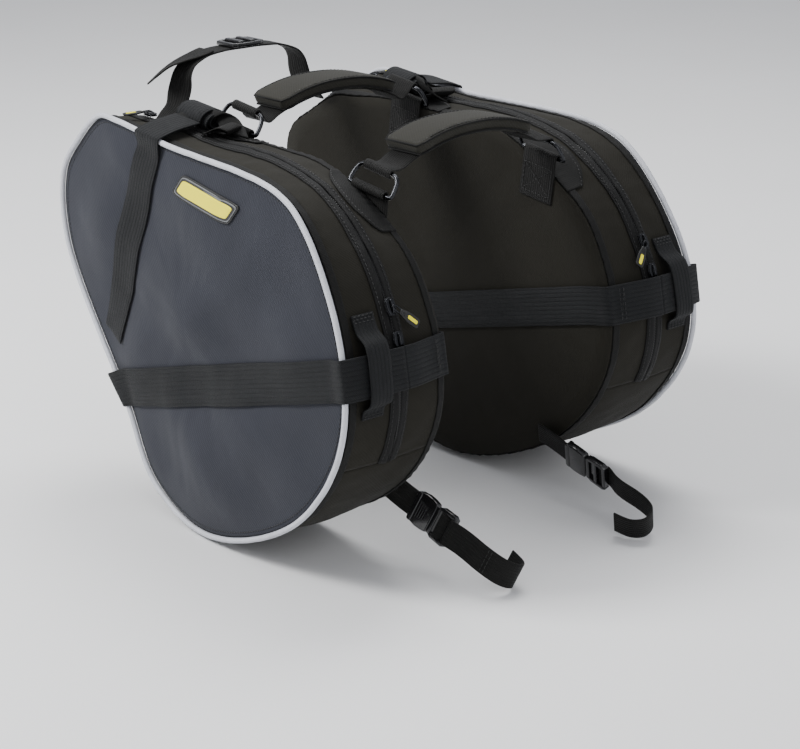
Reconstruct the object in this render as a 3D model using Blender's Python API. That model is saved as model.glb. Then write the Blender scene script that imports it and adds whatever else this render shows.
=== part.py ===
"""A pair of soft motorcycle saddlebags joined by two padded straps over the seat.

Units are metres. +X points to the front of the motorcycle, +Z is up, and the origin is on the
seat's centre line, midway between the two seat pads at the level of their undersides. Every
bag piece is worked out for the right bag, on the -Y side, and mirrored for the left one.
"""
import math

import bmesh
import bpy
from mathutils import Vector
from mathutils.geometry import intersect_line_line_2d

# ---- Driving dimensions of a bag -------------------------------------------------------------
BACK_Y = 0.108            # the bag's back, which lies against the motorcycle
FACE_Y = 0.197            # the face's distance from the centre plane, at x = z = 0
FACE_RAKE = 0.08          # how much deeper the bag gets towards the front
FACE_LEAN = 0.06          # and towards the bottom
PANEL = 0.004             # padded panel: cloth, foam and stiffener
GAP = 0.0003              # clearance between pieces that touch
CROWN = 0.010             # how far the face bulges
GUSSET_BULGE = 0.004
STATIONS = 48             # points round the outline
SPLIT = 0.5               # where the zipper divides the gusset, from face to back

# The face's outline, from the top rear corner down the rear edge and round to the top.
OUTLINE = [
    (-0.224, -0.018), (-0.262, -0.047), (-0.291, -0.084), (-0.283, -0.150), (-0.163, -0.291),
    (-0.112, -0.356), (-0.020, -0.381), (0.125, -0.325), (0.188, -0.240), (0.185, -0.155),
    (0.128, -0.062), (0.085, -0.036), (-0.100, -0.025), (-0.190, -0.017),
]
# The back panel's edge follows the face's, except where it is lower: the place, the reach
# round it, and how far it is drawn in.
LOWERED = [((-0.224, -0.018), 0.12, (0.010, -0.016)), ((0.105, -0.045), 0.09, (-0.003, -0.016))]

# ---- Zipper ----------------------------------------------------------------------------------
ZIP_START = 0.30          # fractions of the outline that the bottom panel takes up
ZIP_END = 0.568
SEAM = 0.0003             # the gap between the gusset and the bottom panel, as a fraction
TAPE_WIDTH = 0.009
TAPE_THICK = 0.0012
COIL_WIDTH = 0.0025
COIL_HEIGHT = 0.0028
SLIDER_LENGTH = 0.016
SLIDER_WIDTH = 0.010
SLIDER_HEIGHT = 0.0035
PULL_LENGTH = 0.030
PULL_THICK = 0.0018
# Where each slider is parked, and the place on the zipper that it travels towards, as
# fractions of the outline.
SLIDERS = {"rear": (0.978, 0.925), "upper": (0.673, 0.677), "lower": (0.652, 0.648)}
LOWER_TIP = 0.625         # where the tip of the lower slider's pull comes to rest

# ---- Webbing and hardware --------------------------------------------------------------------
WIDE_WEB = 0.038
NARROW_WEB = 0.025
WEB_THICK = 0.0018
PIPING_RADIUS = 0.0027
STRAP_LIFT = 0.0022
STRAP_HUG = 0.0008        # how far the girth strap lies off the back panel
STRAP_SETTLE = 0.020      # where it has become flat on the back panel, from the panel's edge
STRAP_SPLIT = 0.004       # half the gap where the girth strap is divided, as a share of the depth
PIPING_CLEAR = 2.2 * PIPING_RADIUS + 0.001
BRIDGE_LIFT = 0.0110      # the straps pass this far over the zipper, and clear the sliders

# ---- Hardware and the yoke -------------------------------------------------------------------
RING_X = 0.096            # the D-rings' distance before and behind the origin
RING_Z = {"front": -0.0435, "rear": -0.018}
RING_TILT = math.atan2(RING_Z["rear"] - RING_Z["front"], 2.0 * RING_X)
RING_WIDTH = 0.056
RING_HEIGHT = 0.020
RING_WIRE = 0.0025
RING_CLEAR = RING_WIRE + 0.0006
RING_Y = BACK_Y - GAP + RING_CLEAR
RING_LEAN = 0.60          # how far the rings lean in towards the seat
PAD_WIDTH = 0.050
PAD_THICK = 0.011
PAD_REACH = 0.070         # half the pad's span over the seat
PAD_TAPER = 0.86          # the share of its width that is left at the cut corners of its ends
SEAT_REACH = 0.086        # half the webbing's span over the seat
SEAT_WEB = 0.036
SEAT_DROP = 0.020
SEAT_LEVEL = {"front": -0.006, "rear": 0.006}
SEAT_EXIT = 0.003         # the straight run between the seat's edge and the D-ring
TAIL_X = -0.232
TAIL_TOP = 0.030

# ---- Lower anchor strap ----------------------------------------------------------------------
ANCHOR_ROOT = Vector((0.108, -0.1005, -0.324))
ANCHOR_DIRECTION = Vector((0.965, -0.02, -0.26)).normalized()
ANCHOR_OUT = Vector((0.12, -0.93, 0.34))
SIDES = {"right": 1.0, "left": -1.0}

FACE_OUT = Vector((0.0, -1.0, 0.0))
INBOARD = Vector((0.0, 1.0, 0.0))

COLOURS = {
    "face_cloth": (0.075, 0.080, 0.095, 0.75, 0.0),
    "gusset_cloth": (0.028, 0.028, 0.024, 0.80, 0.0),
    "piping": (0.55, 0.56, 0.58, 0.55, 0.0),
    "webbing": (0.030, 0.033, 0.036, 0.70, 0.0),
    "zipper": (0.015, 0.015, 0.016, 0.50, 0.0),
    "metal": (0.08, 0.08, 0.085, 0.35, 1.0),
    "plastic": (0.012, 0.012, 0.013, 0.30, 0.0),
    "pull": (0.02, 0.02, 0.02, 0.60, 0.0),
    "label": (0.80, 0.72, 0.05, 0.50, 0.0),
    "pad": (0.040, 0.040, 0.034, 0.85, 0.0),
}


# ---- Making objects --------------------------------------------------------------------------
def material(name):
    """The Principled material of one kind of piece."""
    found = bpy.data.materials.get(name)
    if found:
        return found
    made = bpy.data.materials.new(name)
    made.use_nodes = True
    red, green, blue, roughness, metallic = COLOURS[name]
    shader = made.node_tree.nodes["Principled BSDF"]
    shader.inputs["Base Color"].default_value = (red, green, blue, 1.0)
    shader.inputs["Roughness"].default_value = roughness
    shader.inputs["Metallic"].default_value = metallic
    return made


def add_object(name, points, faces, look, side=1.0, origin=(0.0, 0.0, 0.0)):
    """Makes one closed object; side -1 mirrors it, and origin is its own zero point."""
    zero = Vector((origin[0], origin[1] * side, origin[2]))
    mesh = bpy.data.meshes.new(name)
    placed = [Vector((p[0], p[1] * side, p[2])) - zero for p in points]
    mesh.from_pydata(placed, [], faces)
    shape = bmesh.new()
    shape.from_mesh(mesh)
    bmesh.ops.triangulate(shape, faces=shape.faces)
    bmesh.ops.recalc_face_normals(shape, faces=shape.faces)
    shape.to_mesh(mesh)
    shape.free()
    mesh.materials.append(material(look))
    obj = bpy.data.objects.new(name, mesh)
    obj.location = zero
    bpy.context.scene.collection.objects.link(obj)
    return obj


def loft(sections, closed=False):
    """Joins equal rings of points into one skin, capped at both ends unless it is closed."""
    count = len(sections[0])
    points = [p for ring in sections for p in ring]
    faces = []
    spans = len(sections) if closed else len(sections) - 1
    for row in range(spans):
        here = row * count
        there = ((row + 1) % len(sections)) * count
        for i in range(count):
            j = (i + 1) % count
            faces.append((here + i, here + j, there + j, there + i))
    if not closed:
        last = (len(sections) - 1) * count
        faces.append(tuple(range(count)))
        faces.append(tuple(range(last, last + count)))
    return points, faces


def catmull(points, samples, closed):
    """A smooth curve through points, with centripetal spacing."""
    pts = [Vector(p) for p in points]
    size = len(pts)
    spans = size if closed else size - 1
    curve = []
    for i in range(spans):
        if closed:
            four = [pts[(i + k) % size] for k in (-1, 0, 1, 2)]
        else:
            before = pts[i - 1] if i else pts[0] * 2 - pts[1]
            after = pts[i + 2] if i + 2 < size else pts[-1] * 2 - pts[-2]
            four = [before, pts[i], pts[i + 1], after]
        knots = [0.0]
        for a, b in zip(four, four[1:]):
            knots.append(knots[-1] + math.sqrt((b - a).length))
        for step in range(samples):
            curve.append(catmull_point(four, knots, step / samples))
    if not closed:
        curve.append(pts[-1])
    return curve


def catmull_point(four, knots, share):
    """One point of the span between the second and third of four points."""
    t = knots[1] + (knots[2] - knots[1]) * share
    level = list(four)
    for depth in (1, 2, 3):
        following = []
        for k in range(4 - depth):
            low, high = knots[k], knots[k + depth]
            if depth == 3:
                low, high = knots[1], knots[2]
            following.append(level[k] * ((high - t) / (high - low))
                             + level[k + 1] * ((t - low) / (high - low)))
        level = following
    return level[0]


def evenly(curve, count, closed):
    """The curve's points at equal distances along it."""
    path = curve + [curve[0]] if closed else curve
    travel = [0.0]
    for a, b in zip(path, path[1:]):
        travel.append(travel[-1] + (b - a).length)
    steps = count if closed else count - 1
    result = []
    k = 0
    for i in range(count):
        want = travel[-1] * i / steps
        while k < len(travel) - 2 and travel[k + 1] < want:
            k += 1
        part = (want - travel[k]) / max(travel[k + 1] - travel[k], 1e-9)
        result.append(path[k].lerp(path[k + 1], part))
    return result


# ---- The bag's surfaces ----------------------------------------------------------------------
RIM = evenly(catmull(OUTLINE, 12, True), STATIONS, True)
CENTRE = sum(RIM, Vector((0.0, 0.0))) / STATIONS


def rim_point(share):
    """The face's edge at a fraction of the way round, in X and Z."""
    place = (share % 1.0) * STATIONS
    k = int(place)
    return RIM[k % STATIONS].lerp(RIM[(k + 1) % STATIONS], place - k)


def rim_outward(share):
    """The direction straight out of the edge, in X and Z."""
    step = 0.6 / STATIONS
    along = rim_point(share + step) - rim_point(share - step)
    return Vector((along.y, -along.x)).normalized()


def back_point(share):
    """The back panel's edge: the face's, drawn in where LOWERED says."""
    here = rim_point(share)
    edge = here.copy()
    for place, spread, shift in LOWERED:
        near = max(0.0, 1.0 - (here - Vector(place)).length / spread)
        edge += Vector(shift) * (near * near * (3.0 - 2.0 * near))
    return edge


def face_y(x, z):
    """The depth of the plane that the face is sewn to."""
    return -(FACE_Y + FACE_RAKE * x - FACE_LEAN * z)


def gusset(share, across, lift=0.0):
    """A point on the gusset: across runs from 0 at the face to 1 at the back."""
    front, back = rim_point(share), back_point(share)
    flat = front.lerp(back, across)
    flat = flat + rim_outward(share) * (GUSSET_BULGE * 4.0 * across * (1.0 - across) + lift)
    near = face_y(front.x, front.y)
    return Vector((flat.x, near + (-BACK_Y - near) * across, flat.y))


def gusset_depth(share):
    """The distance from the face to the back."""
    edge = rim_point(share)
    return -BACK_Y - face_y(edge.x, edge.y)


def reach(x, z):
    """0 at the middle of the face, and 1 at its edge."""
    away = Vector((x, z)) - CENTRE
    if away.length < 1e-6:
        return 0.0
    far = CENTRE + away.normalized()
    for a, b in zip(RIM, RIM[1:] + RIM[:1]):
        hit = intersect_line_line_2d(CENTRE, far, a, b)
        if hit:
            return away.length / (hit - CENTRE).length
    return 1.0


def on_face(x, z, lift=0.0):
    """A point on the crowned face, lifted off it."""
    crown = CROWN * (1.0 - min(1.0, reach(x, z)) ** 2.5)
    return Vector((x, face_y(x, z) - crown - lift, z))


def shares(first, last, count):
    """Fractions of the outline from first to last."""
    return [first + (last - first) * i / (count - 1) for i in range(count)]


ZIPPED = shares(ZIP_END + SEAM, ZIP_START + 1.0 - SEAM, 36)


# ---- Shells ----------------------------------------------------------------------------------
def band(stretch, near, far):
    """A strip of gusset wall between two distances from the face and from the back."""
    sections = []
    for share in stretch:
        depth = gusset_depth(share)
        start, end = near(depth), far(depth)
        middle = (start + end) / 2.0
        outer = [gusset(share, v) for v in (start, middle, end)]
        inner = [gusset(share, v, -PANEL) for v in (end, middle, start)]
        sections.append(outer + inner)
    return loft(sections)


def behind_face(depth):
    return (PANEL + GAP) / depth


def before_back(depth):
    return 1.0 - (PANEL + GAP) / depth


def outside_split(depth):
    return SPLIT - GAP / depth


def inside_split(depth):
    return SPLIT + GAP / depth


def make_shells(side_name, side):
    """The tray against the motorcycle and the outer half that the zipper frees."""
    prefix = side_name + "_"
    skin = band(ZIPPED, behind_face, outside_split)
    add_object(prefix + "outer_gusset", *skin, "gusset_cloth", side)
    skin = band(ZIPPED, inside_split, before_back)
    add_object(prefix + "inner_gusset", *skin, "gusset_cloth", side)
    skin = band(shares(ZIP_START, ZIP_END, 16), behind_face, before_back)
    add_object(prefix + "bottom_panel", *skin, "gusset_cloth", side)
    add_object(prefix + "back_panel", *plate(back_skin), "gusset_cloth", side)
    add_object(prefix + "face_panel", *plate(face_skin), "face_cloth", side)
    add_object(prefix + "piping", *piping_skin(), "piping", side)


def face_skin(share, scale, inner):
    edge = CENTRE.lerp(rim_point(share), scale)
    point = on_face(edge.x, edge.y)
    if inner:
        point.y += PANEL
    return point


def back_skin(share, scale, inner):
    edge = CENTRE.lerp(back_point(share), scale)
    return Vector((edge.x, -BACK_Y - (PANEL if inner else 0.0), edge.y))


def plate(skin):
    """A panel as rings of points on its outer and inner skin, closed in the middle."""
    rings = (0.45, 0.85, 1.0)
    points = []
    faces = []
    for inner, scales in ((False, rings), (True, rings[::-1])):
        for scale in scales:
            points += [skin(i / STATIONS, scale, inner) for i in range(STATIONS)]
    for row in range(2 * len(rings) - 1):
        for i in range(STATIONS):
            j = (i + 1) % STATIONS
            here, there = row * STATIONS, (row + 1) * STATIONS
            faces.append((here + i, here + j, there + j, there + i))
    for inner, row in ((False, 0), (True, 2 * len(rings) - 1)):
        points.append(skin(0.0, 0.0, inner))
        hub = len(points) - 1
        for i in range(STATIONS):
            j = (i + 1) % STATIONS
            faces.append((row * STATIONS + i, row * STATIONS + j, hub))
    return points, faces


def piping_skin():
    """The cord sewn into the edge of the face, just outside the corner that it covers."""
    offset = (PIPING_RADIUS + GAP) / math.sqrt(2.0) + 0.0001
    sections = []
    for i in range(STATIONS):
        share = i / STATIONS
        edge, out = rim_point(share), rim_outward(share)
        centre = Vector((edge.x, face_y(edge.x, edge.y) - offset, edge.y))
        outward = Vector((out.x, 0.0, out.y))
        centre += outward * offset
        sections.append([centre + (outward * math.cos(a) + Vector((0.0, 1.0, 0.0)) * math.sin(a))
                         * PIPING_RADIUS for a in (math.tau * k / 6 for k in range(6))])
    return loft(sections, closed=True)


# ---- Zipper ----------------------------------------------------------------------------------
def make_zipper(side_name, side):
    """Both halves of the zipper, each with its row of teeth beside the split."""
    for name, sign in (("zipper_outer", -1.0), ("zipper_inner", 1.0)):
        sections = []
        for share in ZIPPED:
            depth = gusset_depth(share)
            marks = [(TAPE_WIDTH, 0.0), (0.0, 0.0), (0.0, COIL_HEIGHT), (COIL_WIDTH, COIL_HEIGHT),
                     (COIL_WIDTH, TAPE_THICK), (TAPE_WIDTH, TAPE_THICK)]
            sections.append([gusset(share, SPLIT + sign * (GAP + far) / depth, 2 * GAP + lift)
                             for far, lift in marks])
        add_object(f"{side_name}_{name}", *loft(sections), "zipper", side)


def slider_sections(centre, along, up):
    """A slider's body: a waisted block with a raised bridge for its pull."""
    across = along.cross(up).normalized()
    stages = [(0.5, 0.30, 0.5), (0.35, 0.42, 0.8), (0.15, 0.5, 1.0), (-0.15, 0.5, 1.0),
              (-0.38, 0.46, 0.8), (-0.5, 0.35, 0.55)]
    sections = []
    for place, wide, tall in stages:
        middle = centre + along * (place * SLIDER_LENGTH)
        half = across * (wide * SLIDER_WIDTH)
        top = up * (tall * SLIDER_HEIGHT)
        sections.append([middle - half, middle + half, middle + half + top * 0.7,
                         middle + half * 0.5 + top, middle - half * 0.5 + top,
                         middle - half + top * 0.7])
    return sections


def tongue_sections(root, lean, across, up):
    """A pull tab: a flat tongue with a wider grip."""
    stages = [(0.0, 0.0020), (0.10, 0.0028), (0.30, 0.0030), (0.45, 0.0048), (0.90, 0.0050),
              (1.0, 0.0036)]
    sections = []
    for place, half in stages:
        low = root + lean * (place * PULL_LENGTH)
        high = low + up * PULL_THICK
        side = across * half
        sections.append([low - side, low + side, low + side + up * (0.6 * PULL_THICK),
                         high + side * 0.8, high - side * 0.8,
                         low - side + up * (0.6 * PULL_THICK)])
    return sections


def zip_frame(share, ahead):
    """A slider's place on the zipper, its direction of travel and the way out of the cloth."""
    point = gusset(share, SPLIT, COIL_HEIGHT + 5 * GAP)
    along = (gusset(ahead, SPLIT) - gusset(share, SPLIT)).normalized()
    out = rim_outward(share)
    up = Vector((out.x, 0.0, out.y))
    up = (up - along * up.dot(along)).normalized()
    return point, along, up


def make_sliders(side_name, side):
    """Three sliders: one at the rear of the top, and two that meet in front."""
    for name in ("rear", "upper"):
        point, along, up = zip_frame(*SLIDERS[name])
        add_object(f"{side_name}_{name}_slider", *loft(slider_sections(point, along, up)),
                   "metal", side, point)
        hinge, lean = pull_frame(name)
        skin = loft(tongue_sections(hinge, lean, lean.cross(up), up))
        add_object(f"{side_name}_{name}_pull", *skin, "pull", side, hinge)
    point, along, up = zip_frame(*SLIDERS["lower"])
    body = slider_sections(point, -along, up)
    root = point + along * (0.56 * SLIDER_LENGTH) + up * (0.2 * SLIDER_HEIGHT)
    lean = (gusset(LOWER_TIP, SPLIT, COIL_HEIGHT + 4 * GAP) - root).normalized()
    across = up.cross(lean).normalized()
    body += tongue_sections(root, lean, across, lean.cross(across))
    add_object(side_name + "_lower_slider", *loft(body), "metal", side, point)


def pull_frame(name):
    """A pull's hinge on its slider, and the direction in which it lies."""
    point, along, up = zip_frame(*SLIDERS[name])
    hinge = point + up * (SLIDER_HEIGHT + GAP)
    lean = FACE_OUT if name == "rear" else INBOARD * 0.8 - along * 0.8
    return hinge, (lean - up * lean.dot(up)).normalized()


# ---- Straps on a bag -------------------------------------------------------------------------
def ribbon(stations):
    """Webbing along stations of (one edge, other edge, outward direction)."""
    sections = []
    for near, far, out in stations:
        sections.append([near, far, far + out * WEB_THICK, near + out * WEB_THICK])
    return loft(sections)


def station(middle, half, out):
    """A ribbon's station from its middle and its half width."""
    return middle - half, middle + half, out


def turned(stations, upright):
    """The same stations with their two edges in the order that upright gives."""
    near, far, _ = stations[0]
    if (far - near).dot(upright) > 0:
        return stations
    return [(b, a, out) for a, b, out in stations]


def across_face(start, end, half, parts, lift):
    """Stations of webbing laid over the face between two points of it."""
    stations = []
    for part in parts:
        place = start.lerp(end, part)
        edges = [on_face(place.x + sign * half.x, place.y + sign * half.z, lift)
                 for sign in (-1.0, 1.0)]
        stations.append((edges[0], edges[1], FACE_OUT))
    return stations


def flat_out(share):
    out = rim_outward(share)
    return Vector((out.x, 0.0, out.y))


def flat_along(share):
    out = rim_outward(share)
    return Vector((-out.y, 0.0, out.x))


def share_near(x, z):
    """The fraction of the outline that is nearest to a point of the face's plane."""
    place = Vector((x, z))
    return min((k / 480.0 for k in range(480)), key=lambda s: (rim_point(s) - place).length)


GIRTH_REAR = share_near(-0.171, -0.274)      # where the straps cross the face's edge
GIRTH_FRONT = share_near(0.194, -0.176)
DIAGONAL_TOP = share_near(-0.126, -0.028)
DIAGONAL_FOOT = Vector((-0.187, -0.226))


def wrap(share, half, lift):
    """Stations from the zipper round the piping to the edge of the face."""
    edge = flat_along(share) * half
    out = flat_out(share)
    corner = gusset(share, 0.0, PIPING_CLEAR)
    over = corner + FACE_OUT * PIPING_CLEAR
    between = 0.5 * (lift + PIPING_CLEAR)
    return [
        station(gusset(share, SPLIT - STRAP_SPLIT, lift), edge, out),
        station(gusset(share, 0.22, between), edge, out),
        station(corner + FACE_OUT * (0.35 * PIPING_CLEAR), edge, out),
        station(over - out * (0.15 * PIPING_CLEAR), edge, (out + FACE_OUT).normalized()),
    ]


def make_girth_strap(side_name, side):
    """The compression strap round the bag: a part on the face, and the part behind it."""
    half = WIDE_WEB / 2.0
    rear, front = rim_point(GIRTH_REAR), rim_point(GIRTH_FRONT)
    slope = (front - rear).normalized()
    upright = Vector((-slope.y, 0.0, slope.x)) * half
    parts = (0.08, 0.14, 0.25, 0.4, 0.55, 0.7, 0.82, 0.9, 0.95)
    stations = turned(wrap(GIRTH_REAR, half, BRIDGE_LIFT), upright)
    stations += across_face(rear, front, upright, parts, STRAP_LIFT)
    stations += turned(wrap(GIRTH_FRONT, half, BRIDGE_LIFT)[::-1], upright)
    add_object(side_name + "_girth_strap_face", *ribbon(stations), "webbing", side)

    hug = STRAP_HUG
    legs = []
    for share in (GIRTH_FRONT, GIRTH_REAR):
        edge = flat_along(share) * half
        out = flat_out(share)
        corner = gusset(share, 1.0, hug) + INBOARD * hug
        level = upright if edge.dot(upright) > 0 else -upright
        leg = [station(gusset(share, SPLIT + STRAP_SPLIT, BRIDGE_LIFT), edge, out),
               station(gusset(share, 0.80, 0.5 * BRIDGE_LIFT), edge, out),
               station(gusset(share, 0.97, 2 * hug), edge, out),
               station(corner, edge, (out + INBOARD).normalized()),
               station(gusset(share, 1.0, -STRAP_SETTLE) + INBOARD * hug, level, INBOARD)]
        legs.append(turned(leg, upright))
    add_object(side_name + "_girth_strap_back", *ribbon(legs[0] + legs[1][::-1]),
               "webbing", side)


def make_diagonal_strap(side_name, side):
    """The strap from the girth strap's rear end up over the top edge."""
    half = WIDE_WEB / 2.0
    top = rim_point(DIAGONAL_TOP)
    slope = (DIAGONAL_FOOT - top).normalized()
    level = Vector((-slope.y, 0.0, slope.x)) * half
    stations = turned(wrap(DIAGONAL_TOP, half, BRIDGE_LIFT), level)
    stations += across_face(top, DIAGONAL_FOOT, level, (0.1, 0.2, 0.4, 0.6, 0.8, 1.0),
                            STRAP_LIFT)
    add_object(side_name + "_diagonal_strap", *ribbon(stations), "webbing", side)


def make_strap_roll(side_name, side):
    """The rolled spare webbing behind the top edge, where the diagonal strap is pulled tight."""
    centre_across, half_across = 0.72, 0.15
    sections = []
    for share in shares(DIAGONAL_TOP - 0.034, DIAGONAL_TOP + 0.034, 5):
        out = flat_out(share)
        rim = []
        for k in range(8):
            angle = math.tau * k / 8
            across = centre_across + half_across * math.cos(angle)
            rim.append(gusset(share, across, 0.0130) + out * (0.0115 * math.sin(angle)))
        sections.append(rim)
    add_object(side_name + "_strap_roll", *loft(sections), "webbing", side)


def make_keeper(side_name, side):
    """The upright webbing on the outer gusset that the girth strap runs under."""
    half = INBOARD * (NARROW_WEB / 2.0)
    over = BRIDGE_LIFT + WEB_THICK + 0.0012
    stations = []
    for step, lift in ((0.037, 2 * GAP), (0.028, 0.001), (0.0175, over), (0.0, over),
                       (-0.0165, over), (-0.0215, 0.001), (-0.0265, 2 * GAP)):
        share = GIRTH_FRONT + step
        stations.append(station(gusset(share, 0.235, lift), half, flat_out(share)))
    add_object(side_name + "_strap_keeper", *ribbon(stations), "webbing", side)


def make_label(side_name, side):
    """A blank sewn patch near the top of the face, whose ends lean towards the rear."""
    slope = Vector((0.100, -0.0105))
    rise = Vector((0.0085, 0.0105))
    middle = Vector((-0.026, -0.060))
    sections = []
    for part in (-0.5, -0.17, 0.17, 0.5):
        low = middle + slope * part - rise
        high = middle + slope * part + rise
        sections.append([on_face(low.x, low.y, GAP * 2), on_face(high.x, high.y, GAP * 2),
                         on_face(high.x, high.y, 0.0018), on_face(low.x, low.y, 0.0018)])
    add_object(side_name + "_label_patch", *loft(sections), "label", side)


# ---- Hanging hardware ------------------------------------------------------------------------
def ring_frame(end, side=1.0):
    """The middle of a D-ring's bar, the direction along it and the direction to its bow."""
    x = RING_X if end == "front" else -RING_X
    along = Vector((math.cos(RING_TILT), 0.0, -math.sin(RING_TILT)))
    rise = Vector((math.sin(RING_TILT), RING_LEAN * side, math.cos(RING_TILT))).normalized()
    return Vector((x, -RING_Y * side, RING_Z[end])), along, rise


def ring_skin(end):
    """A wire D-ring: its straight bar below, its bow above, leaning in towards the seat."""
    outline = [(-0.5, 0.0), (0.5, 0.0), (0.5, 0.45), (0.45, 0.85), (0.37, 1.0),
               (-0.37, 1.0), (-0.45, 0.85), (-0.5, 0.45)]
    bar, across, rise = ring_frame(end)
    spine = [bar + across * (a * RING_WIDTH) + rise * (b * RING_HEIGHT) for a, b in outline]
    side_way = across.cross(rise).normalized()
    middle = sum(spine, Vector()) / len(spine)
    sections = []
    for k, point in enumerate(spine):
        ahead = (spine[(k + 1) % len(spine)] - point).normalized()
        behind = (point - spine[k - 1]).normalized()
        along = (ahead + behind).normalized()
        out = side_way.cross(along)
        if out.dot(point - middle) < 0:
            out = -out
        stretch = 1.0 / max(0.6, along.dot(ahead))
        sections.append([point + (out * (stretch * math.cos(a)) + side_way * math.sin(a))
                         * RING_WIRE for a in (math.tau * j / 6 for j in range(6))])
    return loft(sections, closed=True)


def make_rings(side_name, side):
    """The D-rings and the webbing tabs that hang the bag from them."""
    for end in ("front", "rear"):
        bar = ring_frame(end)[0]
        add_object(f"{side_name}_{end}_d_ring", *ring_skin(end), "metal", side, bar)
        add_object(f"{side_name}_{end}_ring_tab", *tab_skin(end), "webbing", side, bar)


def tab_skin(end):
    """A webbing loop over the ring's bar, sewn down the back panel."""
    bar, along, _ = ring_frame(end)
    down = Vector((-math.sin(RING_TILT), 0.0, -math.cos(RING_TILT)))
    turns = [math.radians(200 - 25 * k) for k in range(9)]
    tail, half = 0.046, 0.022
    inner = RING_CLEAR
    outer = RING_CLEAR + WEB_THICK
    section = [(math.cos(a) * inner, -math.sin(a) * inner) for a in turns]
    section += [(inner, tail), (outer, tail)]
    section += [(math.cos(a) * outer, -math.sin(a) * outer) for a in reversed(turns)]
    return loft([[bar + along * (half * sign) + INBOARD * y + down * z for y, z in section]
                 for sign in (-1.0, 1.0)])


# ---- Lower strap -----------------------------------------------------------------------------
def anchor_frame():
    """The direction along the lower strap, out of its face and across it."""
    out = (ANCHOR_OUT - ANCHOR_DIRECTION * ANCHOR_OUT.dot(ANCHOR_DIRECTION)).normalized()
    return ANCHOR_DIRECTION, out, ANCHOR_DIRECTION.cross(out)


def anchor_slab(start, stop, half_widths, low, high):
    """A block along the lower strap whose half width changes evenly from end to end."""
    along, out, across = anchor_frame()
    sections = []
    steps = len(half_widths) - 1
    for k, half in enumerate(half_widths):
        middle = ANCHOR_ROOT + along * (start + (stop - start) * k / steps)
        sections.append([middle - across * half + out * low, middle + across * half + out * low,
                         middle + across * half + out * high,
                         middle - across * half + out * high])
    return loft(sections)


def make_anchor(side_name, side):
    """The lower strap, its side-release buckle, and the webbing loop beyond it."""
    half = NARROW_WEB / 2.0
    prefix = side_name + "_"
    skin = anchor_slab(0.0, 0.040, [half, half], 0.0, WEB_THICK)
    add_object(prefix + "lower_strap", *skin, "webbing", side)
    skin = anchor_slab(0.040 + GAP, 0.068, [0.014, 0.0165, 0.0165, 0.0150], -0.0035, 0.0055)
    add_object(prefix + "buckle_socket", *skin, "plastic", side)
    skin = anchor_slab(0.068 + GAP, 0.094, [0.0125, 0.0160, 0.0165, 0.0140], -0.003, 0.005)
    add_object(prefix + "buckle_plug", *skin, "plastic", side)
    along, out, across = anchor_frame()
    bend = 0.150
    route = [(0.094 + GAP, 0.0), (0.115, 0.0), (0.135, 0.0), (bend, -0.001),
             (bend + 0.012, -0.008), (bend + 0.014, -0.020), (bend + 0.004, -0.030),
             (bend - 0.012, -0.033)]
    stations = []
    for k, (travel, lift) in enumerate(route):
        ahead = route[min(k + 1, len(route) - 1)]
        behind = route[max(k - 1, 0)]
        step = Vector((ahead[0] - behind[0], ahead[1] - behind[1])).normalized()
        outward = along * -step.y + out * step.x
        stations.append(station(ANCHOR_ROOT + along * travel + out * lift, across * half,
                                outward))
    add_object(prefix + "anchor_strap", *ribbon(stations), "webbing", side)


# ---- The yoke over the seat ------------------------------------------------------------------
def pad_height(end, y):
    """The level of a pad's underside across the seat."""
    return SEAT_LEVEL[end] - SEAT_DROP * (abs(y) / SEAT_REACH) ** 2.2


def make_seat_strap(end, x):
    """The webbing that runs over the seat from ring to ring, and the pad sewn on top of it."""
    sections = []
    steps = 18
    for k in range(steps + 1):
        y = PAD_REACH * (2.0 * k / steps - 1.0)
        base, up = pad_base(end, x, y)
        base += up * (WEB_THICK + 2 * GAP)
        half = PAD_WIDTH / 2.0 * (PAD_TAPER if k in (0, steps) else 1.0)
        sections.append([base + Vector((a * half, 0.0, 0.0)) + up * (b * PAD_THICK)
                         for a, b in ((-0.92, 0.0), (0.92, 0.0), (1.0, 0.35), (1.0, 0.65),
                                      (0.86, 0.97), (0.0, 1.06), (-0.86, 0.97), (-1.0, 0.65),
                                      (-1.0, 0.35))])
    add_object(end + "_seat_pad", *loft(sections), "pad")
    add_object(end + "_seat_webbing", *seat_webbing(end, x), "webbing")


def pad_base(end, x, y):
    """A point on the seat strap's underside, and the direction out of the seat there."""
    slope = (pad_height(end, y + 0.001) - pad_height(end, y - 0.001)) / 0.002
    return Vector((x, y, pad_height(end, y))), Vector((0.0, -slope, 1.0)).normalized()


def ring_loop(end, side):
    """A D-ring's bow, the webbing's half width there and its turn round the bow."""
    bar, along, lean = ring_frame(end, side)
    away = Vector((0.0, -lean.z * side, abs(lean.y)))
    bow = bar + lean * RING_HEIGHT
    turn = [bow + (lean * math.cos(a) + away * math.sin(a)) * RING_CLEAR
            for a in (0.2, 1.1, 2.0, 2.9)]
    return bow, along * (SEAT_WEB / 2.0), turn


def seat_webbing(end, x):
    """Webbing under the pad, ending in a turn round the D-ring on each side."""
    half = Vector((SEAT_WEB / 2.0, 0.0, 0.0))
    right_bow, ring_half, right = ring_loop(end, 1.0)
    left_bow, _, left = ring_loop(end, -1.0)
    stations = [station(p, ring_half, (p - right_bow).normalized()) for p in right[::-1]]
    steps = 18
    exit_way = INBOARD * SEAT_EXIT
    for k in range(steps + 1):
        base, up = pad_base(end, x, SEAT_REACH * (2.0 * k / steps - 1.0))
        if k == 0:
            stations.append(station(base - exit_way, half, up))
        stations.append(station(base, half, up))
    stations.append(station(base + exit_way, half, up))
    stations += [station(p, ring_half, (p - left_bow).normalized()) for p in left]
    return ribbon(stations)


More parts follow.
